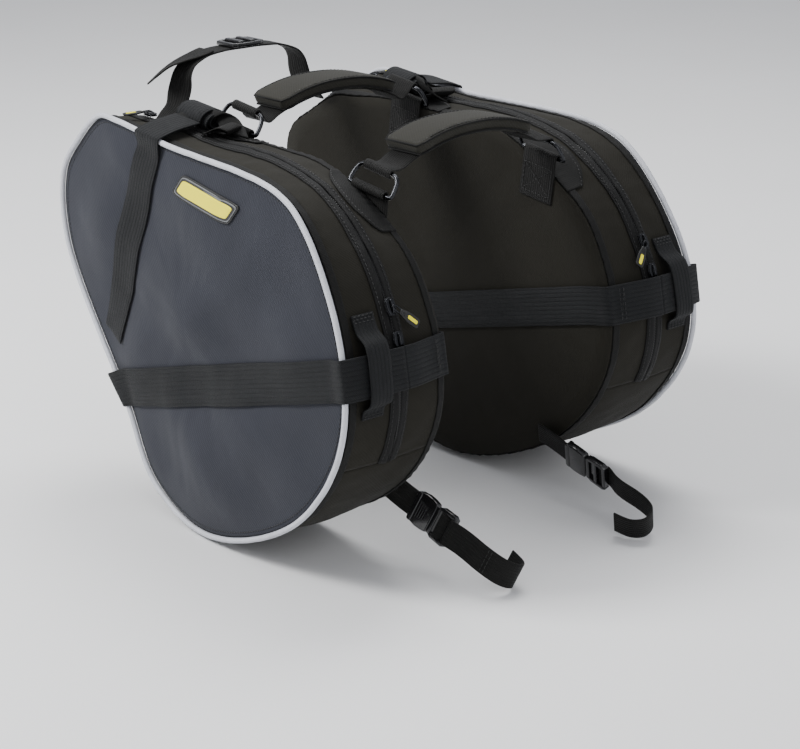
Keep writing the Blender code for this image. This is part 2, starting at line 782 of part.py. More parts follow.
def tail_route():
    """The tail strap's line: up from the right bag, over the tail and down to the left one."""
    legs = [(-0.100, -0.036), (-0.084, -0.022), (-0.076, 0.000), (-0.069, 0.019),
            (-0.044, 0.028), (0.0, TAIL_TOP)]
    return legs + [(-y, z) for y, z in legs[-2::-1]]


def make_tail_strap():
    """The narrow strap over the tail, which a sliding buckle tightens."""
    line = catmull(tail_route(), 2, False)
    half = Vector((NARROW_WEB / 2.0, 0.0, 0.0))
    stations = []
    for k, point in enumerate(line):
        along = (line[min(k + 1, len(line) - 1)] - line[max(k - 1, 0)]).normalized()
        outward = Vector((0.0, -along.y, along.x))
        stations.append(station(Vector((TAIL_X, point.x, point.y)), half, outward))
    add_object("tail_strap", *ribbon(stations), "webbing")


def make_tail_buckle():
    """A flat frame that sits over the middle of the tail strap."""
    low, high = TAIL_TOP + WEB_THICK + GAP * 2, TAIL_TOP + WEB_THICK + 0.0065
    sections = []
    for y, half, top in ((-0.021, 0.012, 0.4), (-0.015, 0.0165, 0.8), (0.0, 0.0175, 1.0),
                         (0.015, 0.0165, 0.8), (0.021, 0.012, 0.4)):
        peak = low + (high - low) * top
        sections.append([Vector((TAIL_X - half, y, low)), Vector((TAIL_X + half, y, low)),
                         Vector((TAIL_X + half * 0.8, y, peak)),
                         Vector((TAIL_X - half * 0.8, y, peak))])
    add_object("tail_buckle", *loft(sections), "plastic")


def main():
    for obj in list(bpy.data.objects):
        bpy.data.objects.remove(obj)
    for side_name, side in SIDES.items():
        make_shells(side_name, side)
        make_zipper(side_name, side)
        make_sliders(side_name, side)
        make_girth_strap(side_name, side)
        make_diagonal_strap(side_name, side)
        make_strap_roll(side_name, side)
        make_keeper(side_name, side)
        make_label(side_name, side)
        make_rings(side_name, side)
        make_anchor(side_name, side)
    for end, x in (("front", RING_X), ("rear", -RING_X)):
        make_seat_strap(end, x)
    make_tail_strap()
    make_tail_buckle()


main()
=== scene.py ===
"""A linked pair of soft motorcycle saddlebags, dressed over the CAD model's frame.

Units are metres in the CAD model's own frame: +X to the front of the motorcycle, +Z up. Every
bag piece is worked out for the right bag, on the -Y side, and mirrored for the left one.
"""

import bisect
import math

import bmesh
import bpy
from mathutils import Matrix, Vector, noise


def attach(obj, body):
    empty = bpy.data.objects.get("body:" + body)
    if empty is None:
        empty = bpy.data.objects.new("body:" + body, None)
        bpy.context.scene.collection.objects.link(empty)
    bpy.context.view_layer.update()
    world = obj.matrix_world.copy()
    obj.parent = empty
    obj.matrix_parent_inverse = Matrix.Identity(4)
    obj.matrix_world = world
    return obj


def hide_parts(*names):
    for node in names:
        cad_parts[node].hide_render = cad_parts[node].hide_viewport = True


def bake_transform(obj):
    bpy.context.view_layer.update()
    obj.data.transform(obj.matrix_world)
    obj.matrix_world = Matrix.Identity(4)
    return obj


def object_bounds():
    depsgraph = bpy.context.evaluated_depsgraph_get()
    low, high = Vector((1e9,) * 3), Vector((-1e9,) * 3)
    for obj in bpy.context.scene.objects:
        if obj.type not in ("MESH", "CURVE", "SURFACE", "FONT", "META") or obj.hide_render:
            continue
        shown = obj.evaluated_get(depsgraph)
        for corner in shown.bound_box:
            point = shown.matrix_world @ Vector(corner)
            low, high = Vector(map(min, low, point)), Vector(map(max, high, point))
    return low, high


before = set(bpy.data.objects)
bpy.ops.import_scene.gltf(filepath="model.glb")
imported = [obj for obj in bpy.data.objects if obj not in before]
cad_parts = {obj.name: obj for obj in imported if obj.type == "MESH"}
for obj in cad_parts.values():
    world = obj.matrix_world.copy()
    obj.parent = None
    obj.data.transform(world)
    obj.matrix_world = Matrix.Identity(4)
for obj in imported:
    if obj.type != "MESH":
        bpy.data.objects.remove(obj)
CAD_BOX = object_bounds()

# ---- The bag's shape, as in the CAD model ----------------------------------------------------
BACK_Y = 0.108
FACE_Y = 0.197
FACE_RAKE = 0.08
FACE_LEAN = 0.06
PANEL = 0.004
CROWN = 0.010
GUSSET_BULGE = 0.004
SPLIT = 0.5
ZIP_START = 0.30
ZIP_END = 0.568
OUTLINE = [
    (-0.224, -0.018), (-0.262, -0.047), (-0.291, -0.084), (-0.283, -0.150), (-0.163, -0.291),
    (-0.112, -0.356), (-0.020, -0.381), (0.125, -0.325), (0.188, -0.240), (0.185, -0.155),
    (0.128, -0.062), (0.085, -0.036), (-0.100, -0.025), (-0.190, -0.017),
]
LOWERED = [((-0.224, -0.018), 0.12, (0.010, -0.016)), ((0.105, -0.045), 0.09, (-0.003, -0.016))]
RIM_POINTS = 480
RIM_STEP = 0.006                             # how far apart the edge's direction is measured

WIDE_WEB = 0.038
NARROW_WEB = 0.025
WEB_THICK = 0.0018
PIPING_RADIUS = 0.0027
COIL_HEIGHT = 0.0028
ACROSS = (-1.0, -0.5, 0.0, 0.5, 1.0)           # the points of a strap's station, in half widths

FACE_OUT = Vector((0.0, -1.0, 0.0))
INBOARD = Vector((0.0, 1.0, 0.0))
UP = Vector((0.0, 0.0, 1.0))


# ---- Curves ----------------------------------------------------------------------------------
def catmull(points, samples, closed=False):
    """A smooth curve through points, with centripetal spacing."""
    pts = [Vector(p) for p in points]
    size = len(pts)
    curve = []
    for i in range(size if closed else size - 1):
        if closed:
            four = [pts[(i + k) % size] for k in (-1, 0, 1, 2)]
        else:
            before = pts[i - 1] if i else pts[0] * 2 - pts[1]
            after = pts[i + 2] if i + 2 < size else pts[-1] * 2 - pts[-2]
            four = [before, pts[i], pts[i + 1], after]
        knots = [0.0]
        for a, b in zip(four, four[1:]):
            knots.append(knots[-1] + math.sqrt(max((b - a).length, 1e-7)))
        for step in range(samples):
            curve.append(catmull_point(four, knots, step / samples))
    if not closed:
        curve.append(pts[-1])
    return curve


def catmull_point(four, knots, share):
    """One point of the span between the second and third of four points."""
    t = knots[1] + (knots[2] - knots[1]) * share
    level = list(four)
    for depth in (1, 2, 3):
        following = []
        for k in range(4 - depth):
            low, high = knots[k], knots[k + depth]
            if depth == 3:
                low, high = knots[1], knots[2]
            following.append(level[k] * ((high - t) / (high - low))
                             + level[k + 1] * ((t - low) / (high - low)))
        level = following
    return level[0]


def distances(path):
    """How far along the path each of its points is."""
    travel = [0.0]
    for a, b in zip(path, path[1:]):
        travel.append(travel[-1] + (b - a).length)
    return travel


def evenly(curve, count):
    """The points at equal distances round a closed curve."""
    path = curve + [curve[0]]
    travel = distances(path)
    result = []
    k = 0
    for i in range(count):
        want = travel[-1] * i / count
        while k < len(travel) - 2 and travel[k + 1] < want:
            k += 1
        part = (want - travel[k]) / max(travel[k + 1] - travel[k], 1e-9)
        result.append(path[k].lerp(path[k + 1], part))
    return result


def spread(first, last, count):
    """Numbers from first to last at equal steps."""
    return [first + (last - first) * i / (count - 1) for i in range(count)]


def smooth(low, high, value):
    """0 below low, 1 above high, and a smooth step between them."""
    t = min(1.0, max(0.0, (value - low) / (high - low)))
    return t * t * (3.0 - 2.0 * t)


# ---- The bag's surfaces ----------------------------------------------------------------------
RIM = evenly(catmull(OUTLINE, 24, True), RIM_POINTS)
CENTRE = sum(RIM, Vector((0.0, 0.0))) / RIM_POINTS
RIM_LENGTH = sum((RIM[i] - RIM[i - 1]).length for i in range(RIM_POINTS))


def angle_of(place):
    away = place - CENTRE
    return math.atan2(away.y, away.x)


POLAR = sorted((angle_of(p), (p - CENTRE).length) for p in RIM)


def rim_radius(angle):
    """The distance from the face's centre to its edge in one direction."""
    k = bisect.bisect_left(POLAR, (angle,))
    a, b = POLAR[k - 1], POLAR[k % len(POLAR)]
    width = (b[0] - a[0]) % math.tau
    part = ((angle - a[0]) % math.tau) / width if width > 1e-9 else 0.0
    return a[1] + (b[1] - a[1]) * min(1.0, part)


def rim_point(share):
    """The face's edge at a fraction of the way round, in X and Z."""
    place = (share % 1.0) * RIM_POINTS
    k = int(place)
    return RIM[k % RIM_POINTS].lerp(RIM[(k + 1) % RIM_POINTS], place - k)


def rim_outward(share):
    """The direction straight out of the edge, in X and Z."""
    along = rim_point(share + RIM_STEP) - rim_point(share - RIM_STEP)
    return Vector((along.y, -along.x)).normalized()


def back_point(share):
    """The back panel's edge: the face's, drawn in where LOWERED says."""
    here = rim_point(share)
    edge = here.copy()
    for place, reach, shift in LOWERED:
        near = max(0.0, 1.0 - (here - Vector(place)).length / reach)
        edge += Vector(shift) * (near * near * (3.0 - 2.0 * near))
    return edge


def face_y(x, z):
    """The depth of the plane that the face is sewn to."""
    return -(FACE_Y + FACE_RAKE * x - FACE_LEAN * z)


def gusset(share, across, lift=0.0):
    """A point on the gusset: across runs from 0 at the face to 1 at the back."""
    front, back = rim_point(share), back_point(share)
    flat = front.lerp(back, across)
    flat = flat + rim_outward(share) * (GUSSET_BULGE * 4.0 * across * (1.0 - across) + lift)
    near = face_y(front.x, front.y)
    return Vector((flat.x, near + (-BACK_Y - near) * across, flat.y))


def gusset_depth(share):
    """The distance from the face to the back."""
    edge = rim_point(share)
    return -BACK_Y - face_y(edge.x, edge.y)


def flat_out(share):
    out = rim_outward(share)
    return Vector((out.x, 0.0, out.y))


def flat_along(share):
    out = rim_outward(share)
    return Vector((-out.y, 0.0, out.x))


def share_near(x, z):
    """The fraction of the outline that is nearest to a point of the face's plane."""
    place = Vector((x, z))
    return min(range(RIM_POINTS), key=lambda k: (RIM[k] - place).length) / RIM_POINTS


GIRTH_REAR = share_near(-0.171, -0.274)      # where the straps cross the face's edge
GIRTH_FRONT = share_near(0.194, -0.176)
DIAGONAL_TOP = share_near(-0.126, -0.028)
DIAGONAL_FOOT = Vector((-0.187, -0.226))


def line_distance(place, start, end):
    """The distance from a point to a stretch of straight line."""
    along = end - start
    part = min(1.0, max(0.0, (place - start).dot(along) / along.length_squared))
    return (place - start - along * part).length


def face_folds(x, z, reach):
    """How far the cloth of the face stands out from its smooth crown."""
    folds = 0.0034 * math.sin(38.0 * (0.80 * x - 0.60 * z) + 0.9 * math.sin(19.0 * z + 1.0))
    folds += 0.0016 * math.sin(66.0 * (0.42 * x + 0.91 * z) + 1.9 + 0.8 * math.sin(16.0 * x))
    folds += 0.0040 * noise.noise(Vector((x * 17.0, z * 17.0, 3.7)))
    folds += 0.0008 * noise.noise(Vector((x * 60.0, z * 60.0, 8.1)))
    place = Vector((x, z))
    girth = line_distance(place, rim_point(GIRTH_REAR), rim_point(GIRTH_FRONT))
    diagonal = line_distance(place, rim_point(DIAGONAL_TOP), DIAGONAL_FOOT)
    pressed = 0.0030 * (1.0 - smooth(0.010, 0.055, girth))
    pressed += 0.0022 * (1.0 - smooth(0.010, 0.045, diagonal))
    belly = 0.0035 * smooth(-0.20, -0.29, z)
    inside = 1.0 - reach ** 3
    return (folds * (0.35 + 0.65 * inside) + belly - pressed) * min(1.0, 6.0 * (1.0 - reach))


def on_face(x, z, lift=0.0):
    """A point on the cloth of the face, lifted off it."""
    place = Vector((x, z))
    reach = min(1.0, (place - CENTRE).length / rim_radius(angle_of(place)))
    crown = CROWN * (1.0 - reach ** 2.5) + face_folds(x, z, reach)
    return Vector((x, face_y(x, z) - crown - lift, z))


def gusset_folds(share, across):
    """How far the cloth of the gusset stands out: soft dents and puckers beside its seams."""
    here = noise.noise(Vector((share * 26.0, across * 2.2, 5.3)))
    folds = 0.0022 * here + 0.0008 * noise.noise(Vector((share * 90.0, across * 6.0, 1.3)))
    edge = min(across, 1.0 - across)
    pucker = 0.0005 * math.sin(share * math.tau * 150.0 + 2.0 * math.sin(share * 40.0))
    return folds * smooth(0.0, 0.18, edge) + pucker * (1.0 - smooth(0.02, 0.16, edge))


def on_gusset(share, across, lift=0.0):
    """A point on the cloth of the gusset, lifted off it."""
    return gusset(share, across, lift + gusset_folds(share, across))


def past(share, across, metres):
    """The place across the gusset that is some metres past another one."""
    return across + metres / gusset_depth(share)


# ---- Materials -------------------------------------------------------------------------------
class Shader:
    """A Principled material that is built up node by node."""

    def __init__(self, name, rough, metallic=0.0, sheen=0.0, coat=0.0, specular=0.5):
        self.material = bpy.data.materials.new(name)
        self.material.use_nodes = True
        self.tree = self.material.node_tree
        self.main = self.tree.nodes["Principled BSDF"]
        self.main.inputs["Roughness"].default_value = rough
        self.main.inputs["Metallic"].default_value = metallic
        self.main.inputs["Sheen Weight"].default_value = sheen
        self.main.inputs["Sheen Roughness"].default_value = 0.45
        self.main.inputs["Coat Weight"].default_value = coat
        self.main.inputs["Specular IOR Level"].default_value = specular

    def put(self, kind, settings=(), **inputs):
        """Adds a node. inputs are sockets by name (or in0, in1 ...), as links or as values."""
        made = self.tree.nodes.new(kind)
        for key, value in dict(settings).items():
            setattr(made, key, value)
        for key, value in inputs.items():
            pin = made.inputs[int(key[2:])] if key[2:].isdigit() else made.inputs[key]
            if isinstance(value, bpy.types.NodeSocket):
                self.tree.links.new(value, pin)
            else:
                pin.default_value = value
        return made.outputs[0]

    def math(self, operation, a, b=0.0, c=0.0):
        return self.put("ShaderNodeMath", {"operation": operation}, in0=a, in1=b, in2=c)

    def threads(self):
        """Distances along and across the cloth, in metres."""
        place = self.put("ShaderNodeUVMap", {"uv_map": "weave"})
        parts = self.tree.nodes.new("ShaderNodeSeparateXYZ")
        self.tree.links.new(place, parts.inputs[0])
        return parts.outputs[0], parts.outputs[1]

    def object_place(self):
        return self.tree.nodes.new("ShaderNodeTexCoord").outputs["Object"]

    def noise(self, scale, detail=3.0, rough=0.5):
        return self.put("ShaderNodeTexNoise", Vector=self.object_place(), Scale=scale,
                        Detail=detail, Roughness=rough)

    def ramp(self, value, low, high, out_low, out_high):
        made = self.tree.nodes.new("ShaderNodeMapRange")
        for pin, number in zip(made.inputs[1:5], (low, high, out_low, out_high)):
            pin.default_value = number
        self.tree.links.new(value, made.inputs[0])
        return made.outputs[0]

    def mix(self, factor, dark, light):
        made = self.tree.nodes.new("ShaderNodeMix")
        made.data_type = "RGBA"
        self.tree.links.new(factor, made.inputs[0])
        for pin, value in ((made.inputs[6], dark), (made.inputs[7], light)):
            if isinstance(value, bpy.types.NodeSocket):
                self.tree.links.new(value, pin)
            else:
                pin.default_value = (*value, 1.0)
        return made.outputs[2]

    def bump(self, *layers):
        """Adds bumps one over another, each a (height, distance in metres, strength)."""
        normal = None
        for height, distance, strength in layers:
            made = self.tree.nodes.new("ShaderNodeBump")
            made.inputs["Distance"].default_value = distance
            made.inputs["Strength"].default_value = strength
            self.tree.links.new(height, made.inputs["Height"])
            if normal:
                self.tree.links.new(normal, made.inputs["Normal"])
            normal = made.outputs[0]
        self.tree.links.new(normal, self.main.inputs["Normal"])

    def colour(self, value):
        self.tree.links.new(value, self.main.inputs["Base Color"])

    def roughness(self, value):
        self.tree.links.new(value, self.main.inputs["Roughness"])


def scaled(colour, by):
    return tuple(min(1.0, c * by) for c in colour)


def woven(name, colour, pitch, rough=0.82, sheen=0.15, contrast=0.3, specular=0.25):
    """Woven cloth: crossed threads of a given pitch, with a twill slant, and uneven dye."""
    made = Shader(name, rough, sheen=sheen, specular=specular)
    u, v = made.threads()
    warp = made.math("SINE", made.math("MULTIPLY", u, math.tau / pitch))
    weft = made.math("SINE", made.math("MULTIPLY", v, math.tau / pitch))
    twill = made.math("SINE", made.math("MULTIPLY", made.math("ADD", u, v),
                                        math.tau / (2.0 * pitch)))
    weave = made.math("MULTIPLY_ADD", warp, weft, made.math("MULTIPLY", twill, 0.7))
    height = made.ramp(weave, -1.7, 1.7, 0.0, 1.0)
    cloud = made.noise(16.0, 4.0)
    fleck = made.noise(900.0, 2.0)
    shade = made.math("MULTIPLY_ADD", height, 0.55, made.math("MULTIPLY", fleck, 0.45))
    body = made.mix(shade, scaled(colour, 1.0 - contrast), scaled(colour, 1.0 + contrast))
    tint = made.ramp(cloud, 0.3, 0.7, 0.0, 0.35)
    made.colour(made.mix(tint, body, scaled(colour, 1.35)))
    made.roughness(made.ramp(fleck, 0.2, 0.8, rough - 0.08, rough + 0.08))
    made.bump((made.noise(70.0, 3.0), 0.0012, 0.25), (height, 0.0004, 0.55))
    return made.material


def ribbed(name, colour, rib=0.0042):
    """Webbing: ribs along its length and fine picks across it."""
    rough = 0.62
    made = Shader(name, rough, sheen=0.02, specular=0.16)
    u, v = made.threads()
    ribs = made.math("ABSOLUTE", made.math("SINE", made.math("MULTIPLY", v, math.pi / rib)))
    ribs = made.math("POWER", ribs, 0.45)
    picks = made.math("SINE", made.math("MULTIPLY", u, math.tau / 0.0016))
    wobble = made.math("SINE", made.math("MULTIPLY", v, math.tau / 0.0021))
    knit = made.math("MULTIPLY", picks, wobble)
    height = made.math("MULTIPLY_ADD", made.ramp(knit, -1.0, 1.0, 0.0, 1.0), 0.35,
                       made.math("MULTIPLY", ribs, 0.65))
    fleck = made.noise(700.0, 2.0)
    cloud = made.noise(30.0, 3.0)
    body = made.mix(height, scaled(colour, 0.35), scaled(colour, 1.25))
    tint = made.ramp(cloud, 0.35, 0.7, 0.0, 0.3)
    made.colour(made.mix(tint, body, scaled(colour, 1.5)))
    made.roughness(made.ramp(fleck, 0.2, 0.8, rough - 0.1, rough + 0.1))
    made.bump((height, 0.0012, 0.9), (fleck, 0.0003, 0.3))
    return made.material


def moulded(name, colour, rough, metallic=0.0, coat=0.0, grain=900.0, worn=0.6):
    """Moulded plastic, rubber or plated metal, with fine grain and worn, uneven gloss."""
    made = Shader(name, rough, metallic=metallic, coat=coat)
    fine = made.noise(grain, 2.0)
    wear = made.noise(120.0, 5.0, 0.65)
    made.colour(made.mix(made.ramp(wear, 0.45, 0.75, 0.0, worn), colour, scaled(colour, 1.7)))
    made.roughness(made.ramp(wear, 0.25, 0.8, rough - 0.07, rough + 0.12))
    made.bump((fine, 0.0002, 0.2))
    return made.material


def reflective():
    """The face's piping: pale cloth with fine glass beads, scuffed here and there."""
    made = Shader("piping_cloth", 0.42, sheen=0.05, specular=0.6)
    beads = made.put("ShaderNodeTexVoronoi", Vector=made.object_place(), Scale=1300.0)
    scuff = made.noise(45.0, 5.0, 0.6)
    u, _ = made.threads()
    weave = made.math("SINE", made.math("MULTIPLY", u, math.tau / 0.0012))
    pale = made.mix(made.ramp(beads, 0.0, 0.6, 0.0, 1.0), (0.62, 0.63, 0.67), (0.48, 0.49, 0.53))
    made.colour(made.mix(made.ramp(scuff, 0.5, 0.85, 0.0, 0.55), pale, (0.27, 0.28, 0.30)))
    made.roughness(made.ramp(scuff, 0.3, 0.8, 0.35, 0.6))
    made.bump((beads, 0.0002, 0.35), (weave, 0.0002, 0.25))
    return made.material


LOOKS = {
    "face_cloth": woven("face_cloth_weave", (0.0205, 0.0222, 0.0295), 0.0021, sheen=0.10,
                        specular=0.16, contrast=0.55),
    "gusset_cloth": woven("gusset_cloth_weave", (0.0135, 0.0125, 0.0095), 0.0016, sheen=0.03,
                          specular=0.12),
    "lining": woven("lining_cloth", (0.040, 0.041, 0.043), 0.0009, rough=0.55, contrast=0.2),
    "pad": woven("pad_cloth", (0.0230, 0.0222, 0.0185), 0.0018, rough=0.86, sheen=0.05,
                 specular=0.12, contrast=0.4),
    "webbing": ribbed("webbing_ribbed", (0.0072, 0.0078, 0.0086)),
    "fine_webbing": ribbed("webbing_fine", (0.0062, 0.0061, 0.0056), rib=0.0028),
    "binding": woven("binding_tape", (0.0065, 0.0065, 0.0062), 0.0015, rough=0.7, sheen=0.02,
                     specular=0.15),
    "zipper": woven("zipper_tape", (0.0055, 0.0055, 0.0055), 0.0008, rough=0.6, sheen=0.02,
                    specular=0.15),
    "teeth": moulded("zipper_teeth", (0.0060, 0.0060, 0.0060), 0.35),
    "metal": moulded("black_nickel", (0.032, 0.033, 0.036), 0.24, metallic=1.0),
    "plastic": moulded("moulded_plastic", (0.0060, 0.0060, 0.0066), 0.22, coat=0.3),
    "pull": moulded("pull_rubber", (0.0070, 0.0070, 0.0070), 0.5),
    "yellow": moulded("yellow_rubber", (0.86, 0.76, 0.010), 0.45, worn=0.10),
    "label_edge": moulded("label_edge", (0.0080, 0.0080, 0.0080), 0.5),
    "label_line": moulded("label_line", (0.12, 0.125, 0.13), 0.5),
    "thread": moulded("sewing_thread", (0.016, 0.016, 0.016), 0.6, grain=2500.0),
    "piping": reflective(),
}
SLOTS = {                                    # each look's material slot, where none is named
    "face_cloth": "face_cloth", "gusset_cloth": "gusset_cloth", "binding": "gusset_cloth",
    "pad": "pad", "webbing": "webbing", "fine_webbing": "webbing", "zipper": "zipper",
    "teeth": "zipper", "metal": "metal", "plastic": "plastic", "pull": "pull",
    "yellow": "label", "label_edge": "label", "label_line": "label", "piping": "piping",
}


# ---- Making pieces ---------------------------------------------------------------------------
SIGNS = {"right": 1.0, "left": -1.0}
SHARED_BODIES = ("yoke", "tail_buckle")
STRAP_PROFILE = (-1.0, -0.97, -0.6, -0.2, 0.2, 0.6, 0.97, 1.0)
STRAP_EDGE = 0.28                            # how much of its thickness a strap's edge loses
STITCH = ((0.0, -0.4, 0.6), (0.25, 0.75, 1.0), (0.75, 0.75, 1.0), (1.0, -0.4, 0.6))


def sided(side, name):
    """The full name of one side's piece, body or node. side is None for what the bags share."""
    return name if side is None or name in SHARED_BODIES else f"{side}_{name}"


def piece(name, points, faces, look, body, side=None, slot=None, node=None, weave=None,
          lining=(), shade_smooth=True):
    """One mesh piece that rides on a body, and may stand for a node of the CAD model.

    weave gives each point's (along, across) in metres. The faces numbered in lining are lining.
    """
    name = sided(side, name)
    sign = SIGNS.get(side, 1.0)
    mesh = bpy.data.meshes.new(name)
    mesh.from_pydata([(p[0], p[1] * sign, p[2]) for p in points], [], faces)
    mesh.materials.append(LOOKS[look])
    if lining:
        mesh.materials.append(LOOKS["lining"])
        for k in lining:
            mesh.polygons[k].material_index = 1
    if weave:
        layer = mesh.uv_layers.new(name="weave")
        for loop in mesh.loops:
            layer.data[loop.index].uv = weave[loop.vertex_index]
    shape = bmesh.new()
    shape.from_mesh(mesh)
    bmesh.ops.recalc_face_normals(shape, faces=shape.faces)
    shape.to_mesh(mesh)
    shape.free()
    for polygon in mesh.polygons:
        polygon.use_smooth = shade_smooth
    obj = bpy.data.objects.new(name, mesh)
    bpy.context.scene.collection.objects.link(obj)
    if body:
        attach(obj, sided(side, body))
    slot or SLOTS[look]
    if node:
        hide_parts(sided(side, node))
    return obj


def band(here, there, count):
    """The faces between two rings of points that start at two numbers."""
    return [(here + i, here + (i + 1) % count, there + (i + 1) % count, there + i)
            for i in range(count)]


def loft(sections, closed=False):
    """Joins equal rings of points into one skin, capped at both ends unless it is closed."""
    size, count = len(sections), len(sections[0])
    faces = []
    for row in range(size if closed else size - 1):
        faces += band(row * count, (row + 1) % size * count, count)
    if not closed:
        last = (size - 1) * count
        faces.append(tuple(range(count - 1, -1, -1)))
        faces.append(tuple(range(last, last + count)))
    return [p for ring in sections for p in ring], faces


def lofts(solids):
    """The points and faces of many small lofts that make one piece."""
    points, faces = [], []
    for sections in solids:
        more, skin = loft(sections)
        faces += [tuple(len(points) + k for k in face) for face in skin]
        points += more
    return points, faces


def lined_sheet(name, rows, ways, weave, look, body, side, node):
    """Cloth with an outer skin of rows of points and a lining one thickness along each way."""
    height, width = len(rows), len(rows[0])
    outer = [p for row in rows for p in row]
    inner = [p + way * PANEL for row, way in zip(rows, ways) for p in row]
    shift = len(outer)
    faces, lining = [], []
    for r in range(height - 1):
        for c in range(width - 1):
            a, b = r * width + c, (r + 1) * width + c
            faces.append((a, a + 1, b + 1, b))
            lining.append(len(faces))
            faces.append((shift + a, shift + b, shift + b + 1, shift + a + 1))
    for c in (0, width - 1):
        for r in range(height - 1):
            a, b = r * width + c, (r + 1) * width + c
            faces.append((a, b, shift + b, shift + a))
    for r in (0, height - 1):
        for a in range(r * width, r * width + width - 1):
            faces.append((a, a + 1, shift + a + 1, shift + a))
    flat = [w for row in weave for w in row]
    return piece(name, outer + inner, faces, look, body, side, node=node, weave=flat + flat,
                 lining=lining)


def lined_disc(name, edge_at, scales, surface, look, body, side, node, hub=False):
    """A lined panel in rings from its centre to its edge. surface places a point of a skin."""
    size = DISC_COLUMNS
    points, weave = [], []
    for inner in (False, True):
        for scale in scales:
            for k in range(size):
                edge = CENTRE.lerp(edge_at(k / size), scale)
                points.append(surface(edge, scale, inner))
                weave.append((edge.x, edge.y))
    skin = len(scales) * size
    faces, lining = [], []
    for inner in (False, True):
        first, start = skin * inner, len(faces)
        for row in range(first, first + skin - size, size):
            faces += band(row, row + size, size)
        if hub:
            faces += [(first + i, first + (i + 1) % size, len(points)) for i in range(size)]
            points.append(surface(CENTRE, 0.0, inner))
            weave.append((CENTRE.x, CENTRE.y))
        else:
            faces.append(tuple(range(first, first + size)))
        if inner:
            lining += range(start, len(faces))
    faces += band(skin - size, 2 * skin - size, size)
    return piece(name, points, faces, look, body, side, node=node, weave=weave, lining=lining)


def tube(name, path, radius, look, body, side=None, node=None, slot=None, closed=False, sides=10):
    """A round cord or wire along a path."""
    sections, weave = [], []
    travel = 0.0
    size = len(path)
    normal = None
    for i, point in enumerate(path):
        ahead = path[(i + 1) % size] if closed or i + 1 < size else point
        behind = path[i - 1] if closed or i else point
        along = (ahead - behind).normalized()
        if normal is None:
            normal = along.orthogonal().normalized()
        normal = (normal - along * normal.dot(along)).normalized()
        across = along.cross(normal)
        angles = [math.tau * k / sides for k in range(sides)]
        sections.append([point + normal * (radius * math.cos(a)) + across * (radius * math.sin(a))
                         for a in angles])
        weave += [(travel, radius * a) for a in angles]
        travel += (ahead - point).length
    points, faces = loft(sections, closed)
    return piece(name, points, faces, look, body, side, slot, node, weave)


def strap_points(path, samples):
    """The path's stations, (points across the strap, outward direction), smoothed along it."""
    width = len(path[0][0])
    lines = [catmull([station[0][k] for station in path], samples) for k in range(width)]
    outs = catmull([station[1] for station in path], samples)
    return [([line[i] for line in lines], outs[i].normalized()) for i in range(len(outs))]


def strap(name, path, look, body, side=None, node=None, slot=None, samples=6, thick=WEB_THICK,
          ripple=0.00025):
    """Webbing laid along a path, with rounded edges and faint ripples."""
    seed = len(sided(side, name)) * 1.7
    sections, weave = [], []
    travel, before = 0.0, None
    for line, out in strap_points(path, samples):
        middle = (line[0] + line[-1]) / 2.0
        if before is not None:
            travel += (middle - before).length
        before = middle
        width = (line[-1] - line[0]).length
        wave = ripple * noise.noise(Vector((travel * 60.0, 0.0, seed)))
        low, high = [], []
        for share in STRAP_PROFILE:
            place = (share + 1.0) / 2.0 * (len(line) - 1)
            j = min(int(place), len(line) - 2)
            base = line[j].lerp(line[j + 1], place - j) + out * wave
            edge = STRAP_EDGE if abs(share) == 1.0 else 0.0
            low.append(base + out * (thick * edge))
            high.append(base + out * (thick * (1.0 - edge)))
            weave.append((travel, share * width / 2.0))
        sections.append(low + high[::-1])
        weave += weave[-len(STRAP_PROFILE):][::-1]
    points, faces = loft(sections)
    return piece(name, points, faces, look, body, side, slot, node, weave)


def flat_station(middle, half, out):
    """A strap's station from its middle and its half width."""
    return [middle + half * a for a in ACROSS], out


def stitches(name, path, normals, body, slot, side=None, length=0.0030, gap=0.0014,
             radius=0.00042):
    """A row of sewn stitches along a path: short thread runs that dip in at both ends."""
    travel = distances(path)
    count = max(1, int(travel[-1] / (length + gap)))
    pitch = travel[-1] / count
    reach = 0.0005

    def at(distance):
        k = min(bisect.bisect_right(travel, distance) - 1, len(travel) - 2)
        part = (distance - travel[k]) / max(travel[k + 1] - travel[k], 1e-9)
        return path[k].lerp(path[k + 1], part), normals[k].lerp(normals[k + 1], part)

    runs = []
    for n in range(count):
        start = n * pitch + gap / 2.0
        rings = []
        for part, rise, slim in STITCH:
            place = start + part * (pitch - gap)
            middle, out = at(place)
            ahead, _ = at(min(travel[-1], place + reach))
            behind, _ = at(max(0.0, place - reach))
            out = out.normalized()
            cross = (ahead - behind).normalized().cross(out)
            centre = middle + out * (radius * rise)
            wide = radius * slim
            rings.append([centre + cross * wide, centre + out * wide,
                          centre - cross * wide, centre - out * wide])
        runs.append(rings)
    points, faces = lofts(runs)
    return piece(name, points, faces, "thread", body, side, slot)


def slab(outline, low, high, origin, axes, look, body, side=None, bevel=0.0005, dome=0.0):
    """A plate from an outline in two axes, between two levels of the third, with round edges."""
    along, across, up = axes
    reach = max(abs(b) for _, b in outline)
    points, faces = loft([[origin + along * a + across * b
                           + up * (level + rise * (1.0 - (b / reach) ** 2)) for a, b in outline]
                          for level, rise in ((low, 0.0), (high, dome))])
    made = piece("part", points, faces, look, body, side)
    edges = made.modifiers.new("bevel", "BEVEL")
    edges.width = bevel
    edges.segments = 3
    edges.limit_method = "ANGLE"
    return made


